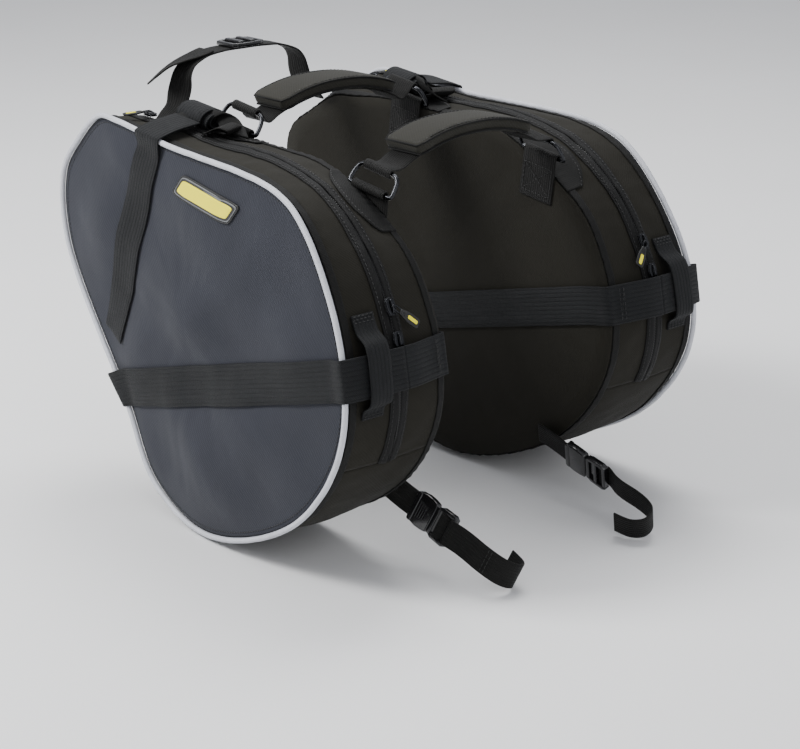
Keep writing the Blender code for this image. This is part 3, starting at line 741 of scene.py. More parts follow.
def rounded(length, width, corner, steps=4):
    """A rectangle with round corners, centred on the origin."""
    outline = []
    for quarter, (a, b) in enumerate(((1, 1), (-1, 1), (-1, -1), (1, -1))):
        centre = (a * (length / 2.0 - corner), b * (width / 2.0 - corner))
        for k in range(steps + 1):
            angle = math.pi / 2.0 * (quarter + k / steps)
            outline.append((centre[0] + corner * math.cos(angle),
                            centre[1] + corner * math.sin(angle)))
    return outline


def mirrored(half):
    """A closed outline from its half on one side of the middle line."""
    return half + [(a, -b) for a, b in reversed(half)]


def merged(name, parts, side=None, node=None):
    """One piece of several, with their modifiers applied."""
    graph = bpy.context.evaluated_depsgraph_get()
    joined = bmesh.new()
    looks = []
    for part in parts:
        solid = bpy.data.meshes.new_from_object(part.evaluated_get(graph))
        shape = bmesh.new()
        shape.from_mesh(solid)
        for look in part.data.materials:
            if look not in looks:
                looks.append(look)
        order = [looks.index(look) for look in part.data.materials]
        for face in shape.faces:
            face.material_index = order[face.material_index]
        shape.to_mesh(solid)
        shape.free()
        joined.from_mesh(solid)
        bpy.data.meshes.remove(solid)
    kept = parts[0]
    kept.modifiers.clear()
    kept.data.materials.clear()
    for look in looks:
        kept.data.materials.append(look)
    joined.to_mesh(kept.data)
    joined.free()
    for part in parts[1:]:
        bpy.data.objects.remove(part)
    kept.name = kept.data.name = sided(side, name)
    if node:
        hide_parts(sided(side, node))


# ---- The bag's shells ------------------------------------------------------------------------
DISC_COLUMNS = 240
FACE_SCALES = (0.08, 0.16, 0.24, 0.32, 0.40, 0.48, 0.55, 0.62, 0.68, 0.74, 0.79, 0.84, 0.88,
               0.915, 0.945, 0.97, 0.985, 1.0)
BACK_RINGS = 12
QUILT = 52.0                                 # radians per metre of the back's quilting
QUILT_PUFF = 0.0014
SEAM_GAP = PANEL + 0.0003                    # a gusset wall stays this far from face and back
ZIP_GAP = 0.0022                             # and this far from the middle of the zipper
ZIP_ENDS = (ZIP_END + 0.0004, ZIP_START + 0.9996)
BINDING_WIDTH = 0.0075


def make_face(side):
    """The face: one crowned sheet of cloth with a lining."""
    def surface(edge, scale, inner):
        point = on_face(edge.x, edge.y)
        point.y += PANEL if inner else 0.0
        return point

    lined_disc("face_cloth", rim_point, FACE_SCALES, surface, "face_cloth", "lid", side,
               "face_panel", hub=True)


def make_back(side):
    """The back panel, padded and quilted, which lies against the motorcycle."""
    def surface(edge, scale, inner):
        quilt = abs(math.sin(QUILT * (edge.x + edge.y)) * math.sin(QUILT * (edge.x - edge.y)))
        puff = QUILT_PUFF * quilt ** 0.5 * smooth(0.0, 0.12, 1.0 - scale)
        y = -BACK_Y - PANEL if inner else -BACK_Y - 0.0008 + puff * 0.5
        return Vector((edge.x, y, edge.y))

    scales = [(row + 1) / BACK_RINGS for row in range(BACK_RINGS)]
    lined_disc("back_cloth", back_point, scales, surface, "gusset_cloth", "bag", side,
               "back_panel")


def wall(name, ends, near, far, body, side, node, columns=11, density=420):
    """A stretch of gusset wall. near and far are (place across, metres past it)."""
    rows, ways, weave = [], [], []
    for share in spread(*ends, max(8, int((ends[1] - ends[0]) * density))):
        crosses = spread(past(share, *near), past(share, *far), columns)
        rows.append([on_gusset(share, v) for v in crosses])
        ways.append(-flat_out(share))
        weave.append([(share * RIM_LENGTH, v * gusset_depth(share)) for v in crosses])
    return lined_sheet(name, rows, ways, weave, "gusset_cloth", body, side, node)


def make_gussets(side):
    """The gusset's outer and inner half, and the full-depth bottom panel."""
    at_face, at_back = (0.0, SEAM_GAP), (1.0, -SEAM_GAP)
    wall("outer_gusset_cloth", ZIP_ENDS, at_face, (SPLIT, -ZIP_GAP), "lid", side, "outer_gusset")
    wall("inner_gusset_cloth", ZIP_ENDS, (SPLIT, ZIP_GAP), at_back, "bag", side, "inner_gusset")
    bottom = wall("bottom_cloth", (ZIP_START, ZIP_END), at_face, at_back, None, side,
                  "bottom_panel", 21)
    sided(side, "bag")
    sided(side, "lid")
    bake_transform(bottom)


def make_piping(side):
    """The pale cord round the face, the tape that binds its seam, and the seams' stitches."""
    offset = (PIPING_RADIUS + 0.0003) / math.sqrt(2.0)
    path = []
    for k in range(DISC_COLUMNS):
        share = k / DISC_COLUMNS
        edge = rim_point(share)
        wobble = 0.0003 * noise.noise(Vector((share * 60.0, 2.0, 0.0)))
        path.append(Vector((edge.x, face_y(edge.x, edge.y) - offset, edge.y))
                    + flat_out(share) * (offset + wobble))
    tube("piping_cord", path, PIPING_RADIUS, "piping", "lid", side, "piping", closed=True,
         sides=12)

    for tag, place, first, body in (("face", (0.0, 0.0035), 0.0, "lid"),
                                    ("back", (1.0, -0.0105), ZIP_START, "bag")):
        stations = []
        for share in spread(first, first + 1.0, 241):
            low = past(share, *place)
            high = past(share, low, BINDING_WIDTH)
            stations.append(([on_gusset(share, v, 0.0002) for v in spread(low, high, 5)],
                             flat_out(share)))
        strap(f"{tag}_binding", stations, "binding", body, side, samples=1, thick=0.0011,
              ripple=0.0003)

    path = []
    for share in spread(0.0, 1.0, 721):
        edge = CENTRE.lerp(rim_point(share), 0.975)
        path.append(on_face(edge.x, edge.y, 0.0001))
    stitches("face_stitches", path, [FACE_OUT] * len(path), "lid", "face_cloth", side)


# ---- Zipper ----------------------------------------------------------------------------------
TAPE_ENDS = (ZIP_END + 0.0006, ZIP_START + 0.9994)
TAPE_SECTION = ((0.0011, 0.0006), (0.0022, 0.0017), (0.0045, 0.0015), (0.0075, 0.0007),
                (0.0105, 0.0004))            # metres from the split, and lift off the cloth
TAPE_SEAM = 0.0078
TOOTH_PITCH = 0.0024
TOOTH_HALF = 0.0005
TOOTH_ENDS = ((-0.0006, 0.0009), (0.0012, 0.0011))   # metres from the split, and height


def make_zipper(side):
    """Two lipped tapes along the split, each with its row of teeth."""
    for half, sign, body in (("outer", -1.0, "lid"), ("inner", 1.0, "bag")):
        stations = []
        for share in spread(*TAPE_ENDS, 260):
            stations.append(([on_gusset(share, past(share, SPLIT, sign * far), lift)
                              for far, lift in TAPE_SECTION], flat_out(share)))
        strap(f"{half}_zipper_tape", stations, "zipper", body, side, f"zipper_{half}", samples=1,
              thick=0.0011, ripple=0.0)
        shares = spread(*TAPE_ENDS, 400)
        path = [on_gusset(share, past(share, SPLIT, sign * TAPE_SEAM), 0.0019)
                for share in shares]
        stitches(f"{half}_zipper_stitches", path, [flat_out(share) for share in shares], body,
                 "zipper", side)
        make_teeth(f"{half}_zipper_teeth", sign, body, side)


def make_teeth(name, sign, body, side):
    """One row of moulded teeth that meets the other row at the split."""
    start, stop = TAPE_ENDS
    count = int((stop - start) * RIM_LENGTH / TOOTH_PITCH)
    teeth = []
    for n in range(count):
        share = start + (stop - start) * (n + 0.5 + 0.25 * sign) / count
        along, out = flat_along(share) * TOOTH_HALF, flat_out(share)
        rings = []
        for far, high in TOOTH_ENDS:
            low = gusset(share, past(share, SPLIT, sign * far), 0.0002)
            rings.append([low - along, low + along, low + along * 0.7 + out * high,
                          low - along * 0.7 + out * high])
        teeth.append(rings)
    points, faces = lofts(teeth)
    piece(name, points, faces, "teeth", body, side, shade_smooth=False)


# ---- Straps on a bag -------------------------------------------------------------------------
STRAP_LIFT = 0.0012
PIPING_CLEAR = 2.2 * PIPING_RADIUS + 0.0006
BRIDGE_LIFT = 0.0108                         # the straps' height where they cross the zipper
STRAP_END = SPLIT - 0.004
KEEPER_OVER = BRIDGE_LIFT + WEB_THICK + 0.0004
KEEPER_ACROSS = 0.235


def wrap(share, half):
    """Stations from the zipper round the piping to the edge of the face."""
    edge = flat_along(share) * half
    out = flat_out(share)
    corner = gusset(share, 0.0, PIPING_CLEAR)
    over = corner + FACE_OUT * PIPING_CLEAR
    return [
        flat_station(gusset(share, STRAP_END, BRIDGE_LIFT), edge, out),
        flat_station(gusset(share, STRAP_END * 0.62, BRIDGE_LIFT * 0.85), edge, out),
        flat_station(gusset(share, STRAP_END * 0.30, 0.5 * (BRIDGE_LIFT + PIPING_CLEAR)), edge,
                     out),
        flat_station(corner + FACE_OUT * (0.40 * PIPING_CLEAR), edge,
                     (out * 2.0 + FACE_OUT).normalized()),
        flat_station(over - out * (0.30 * PIPING_CLEAR), edge,
                     (out + FACE_OUT * 2.0).normalized()),
    ]


def over_face(start, end, half, parts):
    """Stations of webbing laid over the face between two points of it."""
    places = [start.lerp(end, part) for part in parts]
    return [([on_face(p.x + a * half.x, p.y + a * half.z, STRAP_LIFT) for a in ACROSS], FACE_OUT)
            for p in places]


def turned(stations, upright):
    """The same stations with their points in the order that upright gives."""
    line = stations[0][0]
    if (line[-1] - line[0]).dot(upright) > 0:
        return stations
    return [(points[::-1], out) for points, out in stations]


def zigzag(shares, at, half, count):
    """A row of sewn lines to and fro, and the ways out of the cloth along it."""
    path, normals = [], []
    for k, share in enumerate(shares):
        sign = 1.0 if k % 2 == 0 else -1.0
        path += [at(share) + half * part for part in spread(-0.9 * sign, 0.9 * sign, count)]
        normals += [flat_out(share)] * count
    return path, normals


def make_girth_strap(side):
    """The compression strap round the bag: a part on the face, and the part behind it."""
    half = WIDE_WEB / 2.0
    rear, front = rim_point(GIRTH_REAR), rim_point(GIRTH_FRONT)
    slope = (front - rear).normalized()
    upright = Vector((-slope.y, 0.0, slope.x)) * half
    stations = turned(wrap(GIRTH_REAR, half), upright)
    stations += over_face(rear, front, upright, spread(0.045, 0.962, 22))
    stations += turned(wrap(GIRTH_FRONT, half)[::-1], upright)
    strap("girth_strap", stations, "webbing", "lid", side, "girth_strap_face")

    legs = []
    for share in (GIRTH_FRONT, GIRTH_REAR):
        edge, out = flat_along(share) * half, flat_out(share)
        corner = gusset(share, 1.0, 0.0012) + INBOARD * 0.0006
        level = upright if edge.dot(upright) > 0 else -upright
        leg = [flat_station(gusset(share, across, lift), edge, out)
               for across, lift in ((SPLIT - 0.0015, BRIDGE_LIFT),
                                    (SPLIT + 0.12, BRIDGE_LIFT * 0.9),
                                    (0.80, 0.5 * BRIDGE_LIFT), (0.95, 0.0022))]
        leg += [flat_station(corner, edge, (out + INBOARD).normalized()),
                flat_station(gusset(share, 1.0, -0.012) + INBOARD * 0.0012,
                             level.lerp(edge, 0.4), INBOARD),
                flat_station(gusset(share, 1.0, -0.03) + INBOARD * 0.0012, level, INBOARD)]
        legs.append(turned(leg, upright))
    ends = [leg[-1][0][2] for leg in legs]
    middle = [flat_station(ends[0].lerp(ends[1], part), upright, INBOARD)
              for part in spread(0.1, 0.9, 8)]
    strap("girth_strap_rear", legs[0] + middle + legs[1][::-1], "webbing", "bag", side,
          "girth_strap_back")
    for share, tag in ((GIRTH_FRONT, "front"), (GIRTH_REAR, "rear")):
        edge = flat_along(share) * (half - 0.003)
        path = []
        for far in (0.0, 0.0035):
            centre = gusset(share, past(share, 0.88, far), 0.0066 - far * 0.55)
            path += [centre + edge * part for part in spread(-1.0, 1.0, 12)]
        stitches(f"girth_{tag}_tack", path, [flat_out(share)] * len(path), "bag", "webbing", side)


def make_diagonal_strap(side):
    """The strap from the girth strap's rear end up over the top edge."""
    half = WIDE_WEB / 2.0
    top = rim_point(DIAGONAL_TOP)
    slope = (DIAGONAL_FOOT - top).normalized()
    level = Vector((-slope.y, 0.0, slope.x)) * half
    stations = turned(wrap(DIAGONAL_TOP, half), level)
    stations += over_face(top, DIAGONAL_FOOT, level, spread(0.06, 1.0, 16))
    strap("diagonal_webbing", stations, "webbing", "lid", side, "diagonal_strap")


def make_strap_bundle(side):
    """The spare webbing behind the top edge: a roll, a tongue over it and a folded loop."""
    share = DIAGONAL_TOP
    out, along = flat_out(share), flat_along(share)
    if along.x < 0:
        along = -along
    base = gusset(share, 0.72, 0.0)
    turns, first_turn = 2.4, 0.6
    path = []
    for part in spread(0.0, 1.0, 58):
        a = math.tau * turns * part + first_turn
        radius = 0.0030 + 0.0082 * part
        middle = (base + INBOARD * (radius * 1.35 * math.cos(a))
                  + out * (0.0118 + radius * math.sin(a)))
        normal = (INBOARD * math.cos(a) + out * math.sin(a)).normalized()
        skew = along * (0.0035 * math.sin(4.1 * part))
        path.append(flat_station(middle + skew, along * (WIDE_WEB / 2.0), normal))
    strap("strap_roll_webbing", path, "webbing", "bag", side, "strap_roll", samples=2,
          ripple=0.0005)

    # Each station is (metres along the zipper, place across the gusset, lift off it).
    tongue = ((0.000, SPLIT + 0.02, 0.0105), (0.006, 0.60, 0.0150), (0.014, 0.70, 0.0215),
              (0.026, 0.78, 0.0190), (0.040, 0.76, 0.0120), (0.052, 0.70, 0.0070))
    loop = ((0.028, 0.54, 0.0040), (0.037, 0.57, 0.0100), (0.047, 0.61, 0.0150),
            (0.054, 0.67, 0.0130), (0.047, 0.72, 0.0080), (0.036, 0.74, 0.0040))
    for name, look, route, across, half, way in (
            ("strap_tongue", "binding", tongue, along + INBOARD * 0.25, 0.0165, out),
            ("strap_loop", "fine_webbing", loop, INBOARD - along * 0.35, 0.0125,
             (out + along * 0.4).normalized())):
        stations = [flat_station(gusset(share, far, lift) + along * step,
                                 across.normalized() * half, way) for step, far, lift in route]
        strap(name, stations, look, "bag", side, slot="webbing", samples=8)


def make_keeper(side):
    """The upright webbing on the outer gusset that the girth strap runs under."""
    half = INBOARD * (NARROW_WEB / 2.0)
    over = KEEPER_OVER
    stations = []
    for step, lift in ((0.038, 0.0008), (0.033, 0.0010), (0.026, 0.0030), (0.019, over - 0.002),
                       (0.012, over), (0.0, over), (-0.012, over), (-0.0175, over - 0.002),
                       (-0.0215, 0.0028), (-0.0245, 0.0010), (-0.0280, 0.0008)):
        share = GIRTH_FRONT + step
        stations.append(flat_station(gusset(share, KEEPER_ACROSS, lift), half, flat_out(share)))
    strap("keeper_webbing", stations, "webbing", "lid", side, "strap_keeper")
    for tag, steps in (("upper", (0.037, 0.035, 0.033)), ("lower", (-0.0255, -0.027))):
        path, normals = zigzag([GIRTH_FRONT + step for step in steps],
                               lambda share: gusset(share, KEEPER_ACROSS, 0.0008 + WEB_THICK),
                               half, 10)
        stitches(f"keeper_{tag}_tack", path, normals, "lid", "webbing", side)


# ---- Label -----------------------------------------------------------------------------------
LABEL_MIDDLE = Vector((-0.026, -0.060))
LABEL_ALONG = Vector((0.100, -0.0105))       # its whole length
LABEL_RISE = Vector((0.0085, 0.0105))        # half its height
LABEL_LAYERS = (                             # width, height, underside, top
    ("edge", "label_edge", 1.00, 1.00, 0.0006, 0.0019),
    ("line", "label_line", 0.955, 0.86, 0.0015, 0.0021),
    ("field_edge", "label_edge", 0.935, 0.78, 0.0015, 0.0022),
    ("field", "yellow", 0.865, 0.60, 0.0018, 0.0026))


def oblong(angle, square_u, square_v):
    """A point of an oblong with round corners, in shares of its half sizes."""
    c, s = math.cos(angle), math.sin(angle)
    return math.copysign(abs(c) ** square_u, c), math.copysign(abs(s) ** square_v, s)


def make_label(side):
    """A blank patch with rounded corners: a dark edge, a thin pale line and a yellow field."""
    for tag, look, wide, tall, low, high in LABEL_LAYERS:
        rings = []
        for lift, shrink, inside in ((low, 1.0, 1.0), (high - 0.0002, 1.0, 1.0),
                                     *((high, 0.99, r) for r in (1.0, 0.8, 0.6, 0.4, 0.2, 0.04))):
            ring = []
            for k in range(64):
                u, v = oblong(math.tau * (k + 0.5) / 64, 0.18, 0.28)
                u *= 0.5 * wide * shrink
                v *= tall * (1 - (1 - shrink) * 4)
                place = LABEL_MIDDLE + (LABEL_ALONG * u + LABEL_RISE * v) * inside
                ring.append(on_face(place.x, place.y, lift))
            rings.append(ring)
        points, faces = loft(rings)
        piece(f"patch_{tag}", points, faces, look, "lid", side,
              node="label_patch" if tag == "edge" else None)
    path = []
    for k in range(97):
        u, v = oblong(math.tau * k / 96, 0.2, 0.3)
        place = LABEL_MIDDLE + LABEL_ALONG * (u * 0.485) + LABEL_RISE * (v * 0.92)
        path.append(on_face(place.x, place.y, 0.0020))
    stitches("patch_stitches", path, [FACE_OUT] * len(path), "lid", "label", side, length=0.002,
             gap=0.001, radius=0.0003)


# ---- Sliders and pulls, on the CAD model's frames --------------------------------------------
SLIDER_HEIGHT = 0.0035
SLIDER_LIFT = COIL_HEIGHT + 0.0015
SLIDERS = {"rear": (0.978, 0.925), "upper": (0.673, 0.677), "lower": (0.652, 0.648)}
SLIDER_HALF = [(0.0080, 0.0026), (0.0062, 0.0040), (0.0020, 0.0049), (-0.0030, 0.0047),
               (-0.0062, 0.0036), (-0.0080, 0.0030)]
SLIDER_BRIDGE = ((0.0058, 0.0024), (0.0052, 0.0036), (0.0030, 0.0042), (0.0, 0.0043),
                 (-0.0030, 0.0042), (-0.0052, 0.0036), (-0.0058, 0.0024))
PULL_LENGTH = 0.030
LOWER_PULL_LENGTH = 0.031
LOWER_PULL_TIP = 0.625                       # where on the zipper the lower pull's end lies
GRIP_START = 0.0085
LINK = (0.0052, 0.0022, 0.0009)              # half length, half width and lift of a pull's link


def zip_frame(share, ahead):
    """A slider's place on the zipper, its direction of travel and the way out of the cloth."""
    point = gusset(share, SPLIT, SLIDER_LIFT)
    along = (gusset(ahead, SPLIT) - gusset(share, SPLIT)).normalized()
    up = flat_out(share)
    up = (up - along * up.dot(along)).normalized()
    return point, along, up


def pull_frame(name):
    """A pull's hinge on its slider, and the direction in which it lies."""
    point, along, up = zip_frame(*SLIDERS[name])
    hinge = point + up * (SLIDER_HEIGHT + 0.0003)
    lean = FACE_OUT if name == "rear" else INBOARD * 0.8 - along * 0.8
    return hinge, (lean - up * lean.dot(up)).normalized()


def make_slider(side, name, along):
    """A zipper slider: two shield plates on a post, and the bridge that holds its pull."""
    point, _, up = zip_frame(*SLIDERS[name])
    axes = (along, up.cross(along).normalized(), up)
    body = f"{name}_slider"
    shield = mirrored(SLIDER_HALF)
    post = rounded(0.005, 0.003, 0.0012)
    parts = [slab(shield, 0.0, 0.0011, point, axes, "metal", body, side),
             slab(shield, 0.0016, 0.0027, point, axes, "metal", body, side),
             slab(post, 0.0008, 0.0020, point + along * 0.004, axes, "metal", body, side, 0.0002)]
    arch = catmull([point + along * a + up * b for a, b in SLIDER_BRIDGE], 3)
    parts.append(tube("part", arch, 0.0009, "metal", body, side, sides=8))
    merged(f"{name}_slider_body", parts, side, f"{name}_slider")


def make_pull(side, name, root, lean, up, body, length, node=None):
    """A pull: a wire link, a moulded grip with ribs, and a yellow inlay on both sides."""
    axes = (lean, lean.cross(up).normalized(), up)
    long, wide, lift = LINK
    link = []
    for k in range(20):
        a = math.tau * k / 20
        link.append(root + lean * (long - long * math.cos(a)) + axes[1] * (wide * math.sin(a))
                    + up * lift)
    grip = []
    reach = length - GRIP_START
    for part in spread(0.0, 1.0, 9):
        half = 0.0026 + 0.0022 * smooth(0.0, 0.5, part) - 0.0008 * smooth(0.85, 1.0, part)
        grip.append((GRIP_START + reach * part, half))
    parts = [tube("part", link, 0.00065, "metal", body, side, closed=True, sides=8),
             slab(mirrored(grip), 0.0, 0.0019, root, axes, "pull", body, side, 0.0006)]
    for k in range(3):
        place = root + lean * (GRIP_START + 0.0022 + 0.0016 * k)
        parts.append(slab(rounded(0.0007, 0.0050, 0.0003, 2), 0.0017, 0.0023, place, axes,
                          "pull", body, side, 0.0002))
    inlay = rounded(reach * 0.50, 0.0036, 0.0012)
    middle = root + lean * (GRIP_START + reach * 0.66)
    for low, high in ((0.0015, 0.0023), (-0.0003, 0.0004)):
        parts.append(slab(inlay, low, high, middle, axes, "yellow", body, side, 0.0003))
    merged(f"{name}_pull_grip", parts, side, node)


def make_sliders(side):
    """The three sliders and their pulls. The lower one's pull is fixed along the zipper."""
    for name in ("rear", "upper"):
        _, along, up = zip_frame(*SLIDERS[name])
        make_slider(side, name, along)
        hinge, lean = pull_frame(name)
        make_pull(side, name, hinge, lean, up, f"{name}_pull", PULL_LENGTH, f"{name}_pull")
    point, along, up = zip_frame(*SLIDERS["lower"])
    make_slider(side, "lower", -along)
    root = point + along * 0.0070 + up * 0.0006
    lean = (gusset(LOWER_PULL_TIP, SPLIT, COIL_HEIGHT + 0.0012) - root).normalized()
    out = (up - lean * up.dot(lean)).normalized()
    make_pull(side, "lower", root, lean, out, "lower_slider", LOWER_PULL_LENGTH)


# ---- Hanging hardware ------------------------------------------------------------------------
RING_X = 0.096
RING_Z = {"front": -0.0435, "rear": -0.018}
RING_TILT = math.atan2(RING_Z["rear"] - RING_Z["front"], 2.0 * RING_X)
RING_ALONG = Vector((math.cos(RING_TILT), 0.0, -math.sin(RING_TILT)))
RING_DOWN = Vector((-math.sin(RING_TILT), 0.0, -math.cos(RING_TILT)))
RING_WIDTH = 0.056
RING_HEIGHT = 0.020
RING_WIRE = 0.0020
RING_CLEAR = 0.0031
RING_Y = BACK_Y - 0.0003 + RING_CLEAR
RING_LEAN = 0.60
RING_OUTLINE = [(-0.46, 0.0), (0.0, 0.0), (0.46, 0.0), (0.50, 0.05), (0.50, 0.45), (0.455, 0.83),
                (0.36, 0.99), (0.0, 1.02), (-0.36, 0.99), (-0.455, 0.83), (-0.50, 0.45),
                (-0.50, 0.05)]
TAB_HALF = 0.0215
TAB_CLEAR = RING_WIRE + 0.0006
TAB_TACK = ((-0.85, 0.012), (0.85, 0.012), (0.85, 0.040), (-0.85, 0.040), (-0.85, 0.012),
            (0.85, 0.040), (0.85, 0.012), (-0.85, 0.040))   # a sewn box with a cross in it
PATCH_REACH = 0.034                          # half a ring patch's length, as a share of the rim


def ring_frame(end, sign=1.0):
    """The middle of a D-ring's bar, and the direction to its bow."""
    x = RING_X if end == "front" else -RING_X
    rise = Vector((math.sin(RING_TILT), RING_LEAN * sign, math.cos(RING_TILT))).normalized()
    return Vector((x, -RING_Y * sign, RING_Z[end])), rise


def make_rings(side):
    """The D-rings, the webbing tabs round their bars, and the patches sewn to the gusset."""
    for end in ("front", "rear"):
        bar, rise = ring_frame(end)
        path = catmull([bar + RING_ALONG * (a * RING_WIDTH) + rise * (b * RING_HEIGHT)
                        for a, b in RING_OUTLINE], 6, True)
        tube(f"{end}_ring_wire", path, RING_WIRE, "metal", "yoke", side, f"{end}_d_ring",
             closed=True, sides=14)

        half = RING_ALONG * TAB_HALF
        stations = []
        for k in range(10):
            a = math.radians(215 - 24 * k)
            way = INBOARD * math.cos(a) - RING_DOWN * math.sin(a)
            stations.append(flat_station(bar + way * TAB_CLEAR, half, way))
        for z in (0.006, 0.014, 0.024, 0.035, 0.046):
            stations.append(flat_station(bar + INBOARD * TAB_CLEAR + RING_DOWN * z, half,
                                         INBOARD))
        strap(f"{end}_tab_webbing", stations, "fine_webbing", "bag", side, f"{end}_ring_tab",
              samples=3)
        path = []
        for (a0, z0), (a1, z1) in zip(TAB_TACK, TAB_TACK[1:]):
            for part in spread(0.0, 0.95, 12):
                path.append(bar + half * (a0 + (a1 - a0) * part)
                            + RING_DOWN * (z0 + (z1 - z0) * part)
                            + INBOARD * (TAB_CLEAR + WEB_THICK))
        stitches(f"{end}_tab_tack", path, [INBOARD] * len(path), "bag", "webbing", side)
        make_ring_patch(side, end, bar)


def make_ring_patch(side, end, bar):
    """The doubled cloth that spreads a ring's load over the inner gusset."""
    middle = share_near(bar.x, -0.035)
    stations = []
    for k, share in enumerate(spread(middle - PATCH_REACH, middle + PATCH_REACH, 22)):
        inset = 0.10 + 0.26 * math.sin(math.pi * min(1.0, k / 21 * 0.9 + 0.1)) ** 0.8
        stations.append(([on_gusset(share, v, 0.0006) for v in spread(0.98, 1.0 - inset, 5)],
                         flat_out(share)))
    strap(f"{end}_ring_patch", stations, "binding", "bag", side, samples=2, thick=0.0012)
    path = [line[-1].lerp(line[0], 0.12) + out * 0.0012 for line, out in stations]
    stitches(f"{end}_patch_seam", path, [out for _, out in stations], "bag", "gusset_cloth",
             side)


# ---- Lower strap and its buckle --------------------------------------------------------------
ANCHOR_ROOT = Vector((0.108, -0.1005, -0.324))
ANCHOR_ALONG = Vector((0.965, -0.02, -0.26)).normalized()
ANCHOR_OUT = Vector((0.12, -0.93, 0.34))
ANCHOR_OUT = (ANCHOR_OUT - ANCHOR_ALONG * ANCHOR_OUT.dot(ANCHOR_ALONG)).normalized()
ANCHOR_ACROSS = ANCHOR_ALONG.cross(ANCHOR_OUT)
ANCHOR_AXES = (ANCHOR_ALONG, ANCHOR_ACROSS, ANCHOR_OUT)
SOCKET = (0.0405, 0.0678)                    # metres along the lower strap
PLUG = (0.0684, 0.0938)
LOOP_BEND = 0.150
LOOP_ROUTE = ((0.0760, 0.0026), (0.0800, 0.0034), (0.0835, 0.0010), (0.0870, 0.0006),
              (0.0910, 0.0042), (0.0960, 0.0036), (0.104, 0.0012), (0.115, 0.0), (0.135, 0.0006),
              (LOOP_BEND, -0.001), (LOOP_BEND + 0.009, -0.0050), (LOOP_BEND + 0.013, -0.012),
              (LOOP_BEND + 0.013, -0.020), (LOOP_BEND + 0.006, -0.028),
              (LOOP_BEND - 0.004, -0.0315), (LOOP_BEND - 0.012, -0.033))


def anchor_station(travel, lift, out=ANCHOR_OUT):
    return flat_station(ANCHOR_ROOT + ANCHOR_ALONG * travel + ANCHOR_OUT * lift,
                        ANCHOR_ACROSS * (NARROW_WEB / 2.0), out)


def buckle_frame(ends):
    """The middle of one half of the buckle, and half its length."""
    middle = ANCHOR_ROOT + ANCHOR_ALONG * ((ends[0] + ends[1]) / 2.0) + ANCHOR_OUT * 0.001
    return middle, (ends[1] - ends[0]) / 2.0


def slopes(route):
    """The direction of travel at each point of a route in two axes."""
    last = len(route) - 1
    for k in range(last + 1):
        ahead, behind = route[min(k + 1, last)], route[max(k - 1, 0)]
        yield Vector((ahead[0] - behind[0], ahead[1] - behind[1])).normalized()


def make_buckle_socket(side):
    """The buckle's shell, with a collar where the strap enters and ribs to grip."""
    middle, half = buckle_frame(SOCKET)
    shell = [(-half, -0.0128), (-half + 0.003, -0.0150), (-0.002, -0.0164), (0.006, -0.0160),
             (half - 0.001, -0.0148), (half, -0.0120)]
    parts = [slab(mirrored(shell), -0.0042, 0.0030, middle, ANCHOR_AXES, "plastic", "bag", side,
                  0.0014, dome=0.0014),
             slab(rounded(0.006, 0.0300, 0.0025), -0.0046, 0.0044,
                  middle - ANCHOR_ALONG * (half - 0.0035), ANCHOR_AXES, "plastic", "bag", side,
                  0.0010)]
    for k in range(4):
        parts.append(slab(rounded(0.0012, 0.0160 - 0.001 * k, 0.0005, 2), 0.0036, 0.0048,
                          middle + ANCHOR_ALONG * (-0.004 + 0.0028 * k), ANCHOR_AXES, "plastic",
                          "bag", side, 0.0004))
    merged("buckle_body", parts, side, "buckle_socket")


def make_buckle_plug(side):
    """The buckle's ladder: two rails and the three bars that the webbing runs round."""
    middle, half = buckle_frame(PLUG)
    rail = [(-half, 0.0108), (-half, 0.0128), (-half + 0.006, 0.0158), (half - 0.004, 0.0162),
            (half, 0.0140), (half, 0.0118), (0.0, 0.0124)]
    parts = [slab([(a, sign * b) for a, b in rail], -0.0034, 0.0032, middle, ANCHOR_AXES,
                  "plastic", "anchor", side, 0.0009) for sign in (-1.0, 1.0)]
    for place, low, high in ((-half + 0.0022, -0.0034, 0.0036), (-0.0010, -0.0030, 0.0010),
                             (half - 0.0022, -0.0030, 0.0034)):
        parts.append(slab(rounded(0.0042, 0.0270, 0.0012, 3), low, high,
                          middle + ANCHOR_ALONG * place, ANCHOR_AXES, "plastic", "anchor", side,
                          0.0009))
    merged("buckle_ladder", parts, side, "buckle_plug")


def make_anchor(side):
    """The lower strap, its side-release buckle, and the sewn webbing loop beyond it."""
    stations = [anchor_station(t, 0.0006 * math.sin(t * 90.0)) for t in spread(0.0, 0.040, 6)]
    strap("lower_webbing", stations, "fine_webbing", "bag", side, "lower_strap")
    make_buckle_socket(side)
    make_buckle_plug(side)
    stations = [anchor_station(*place, ANCHOR_ALONG * -way.y + ANCHOR_OUT * way.x)
                for place, way in zip(LOOP_ROUTE, slopes(LOOP_ROUTE))]
    strap("lower_loop_webbing", stations, "fine_webbing", "anchor", side, "anchor_strap",
          samples=5)
    for tag, travel in (("first", 0.140), ("second", 0.144)):
        path = [ANCHOR_ROOT + ANCHOR_ALONG * travel + ANCHOR_OUT * (0.0005 + WEB_THICK)
                + ANCHOR_ACROSS * (NARROW_WEB * 0.46 * part) for part in spread(-1.0, 1.0, 9)]
        stitches(f"{tag}_loop_tack", path, [ANCHOR_OUT] * 9, "anchor", "webbing", side)


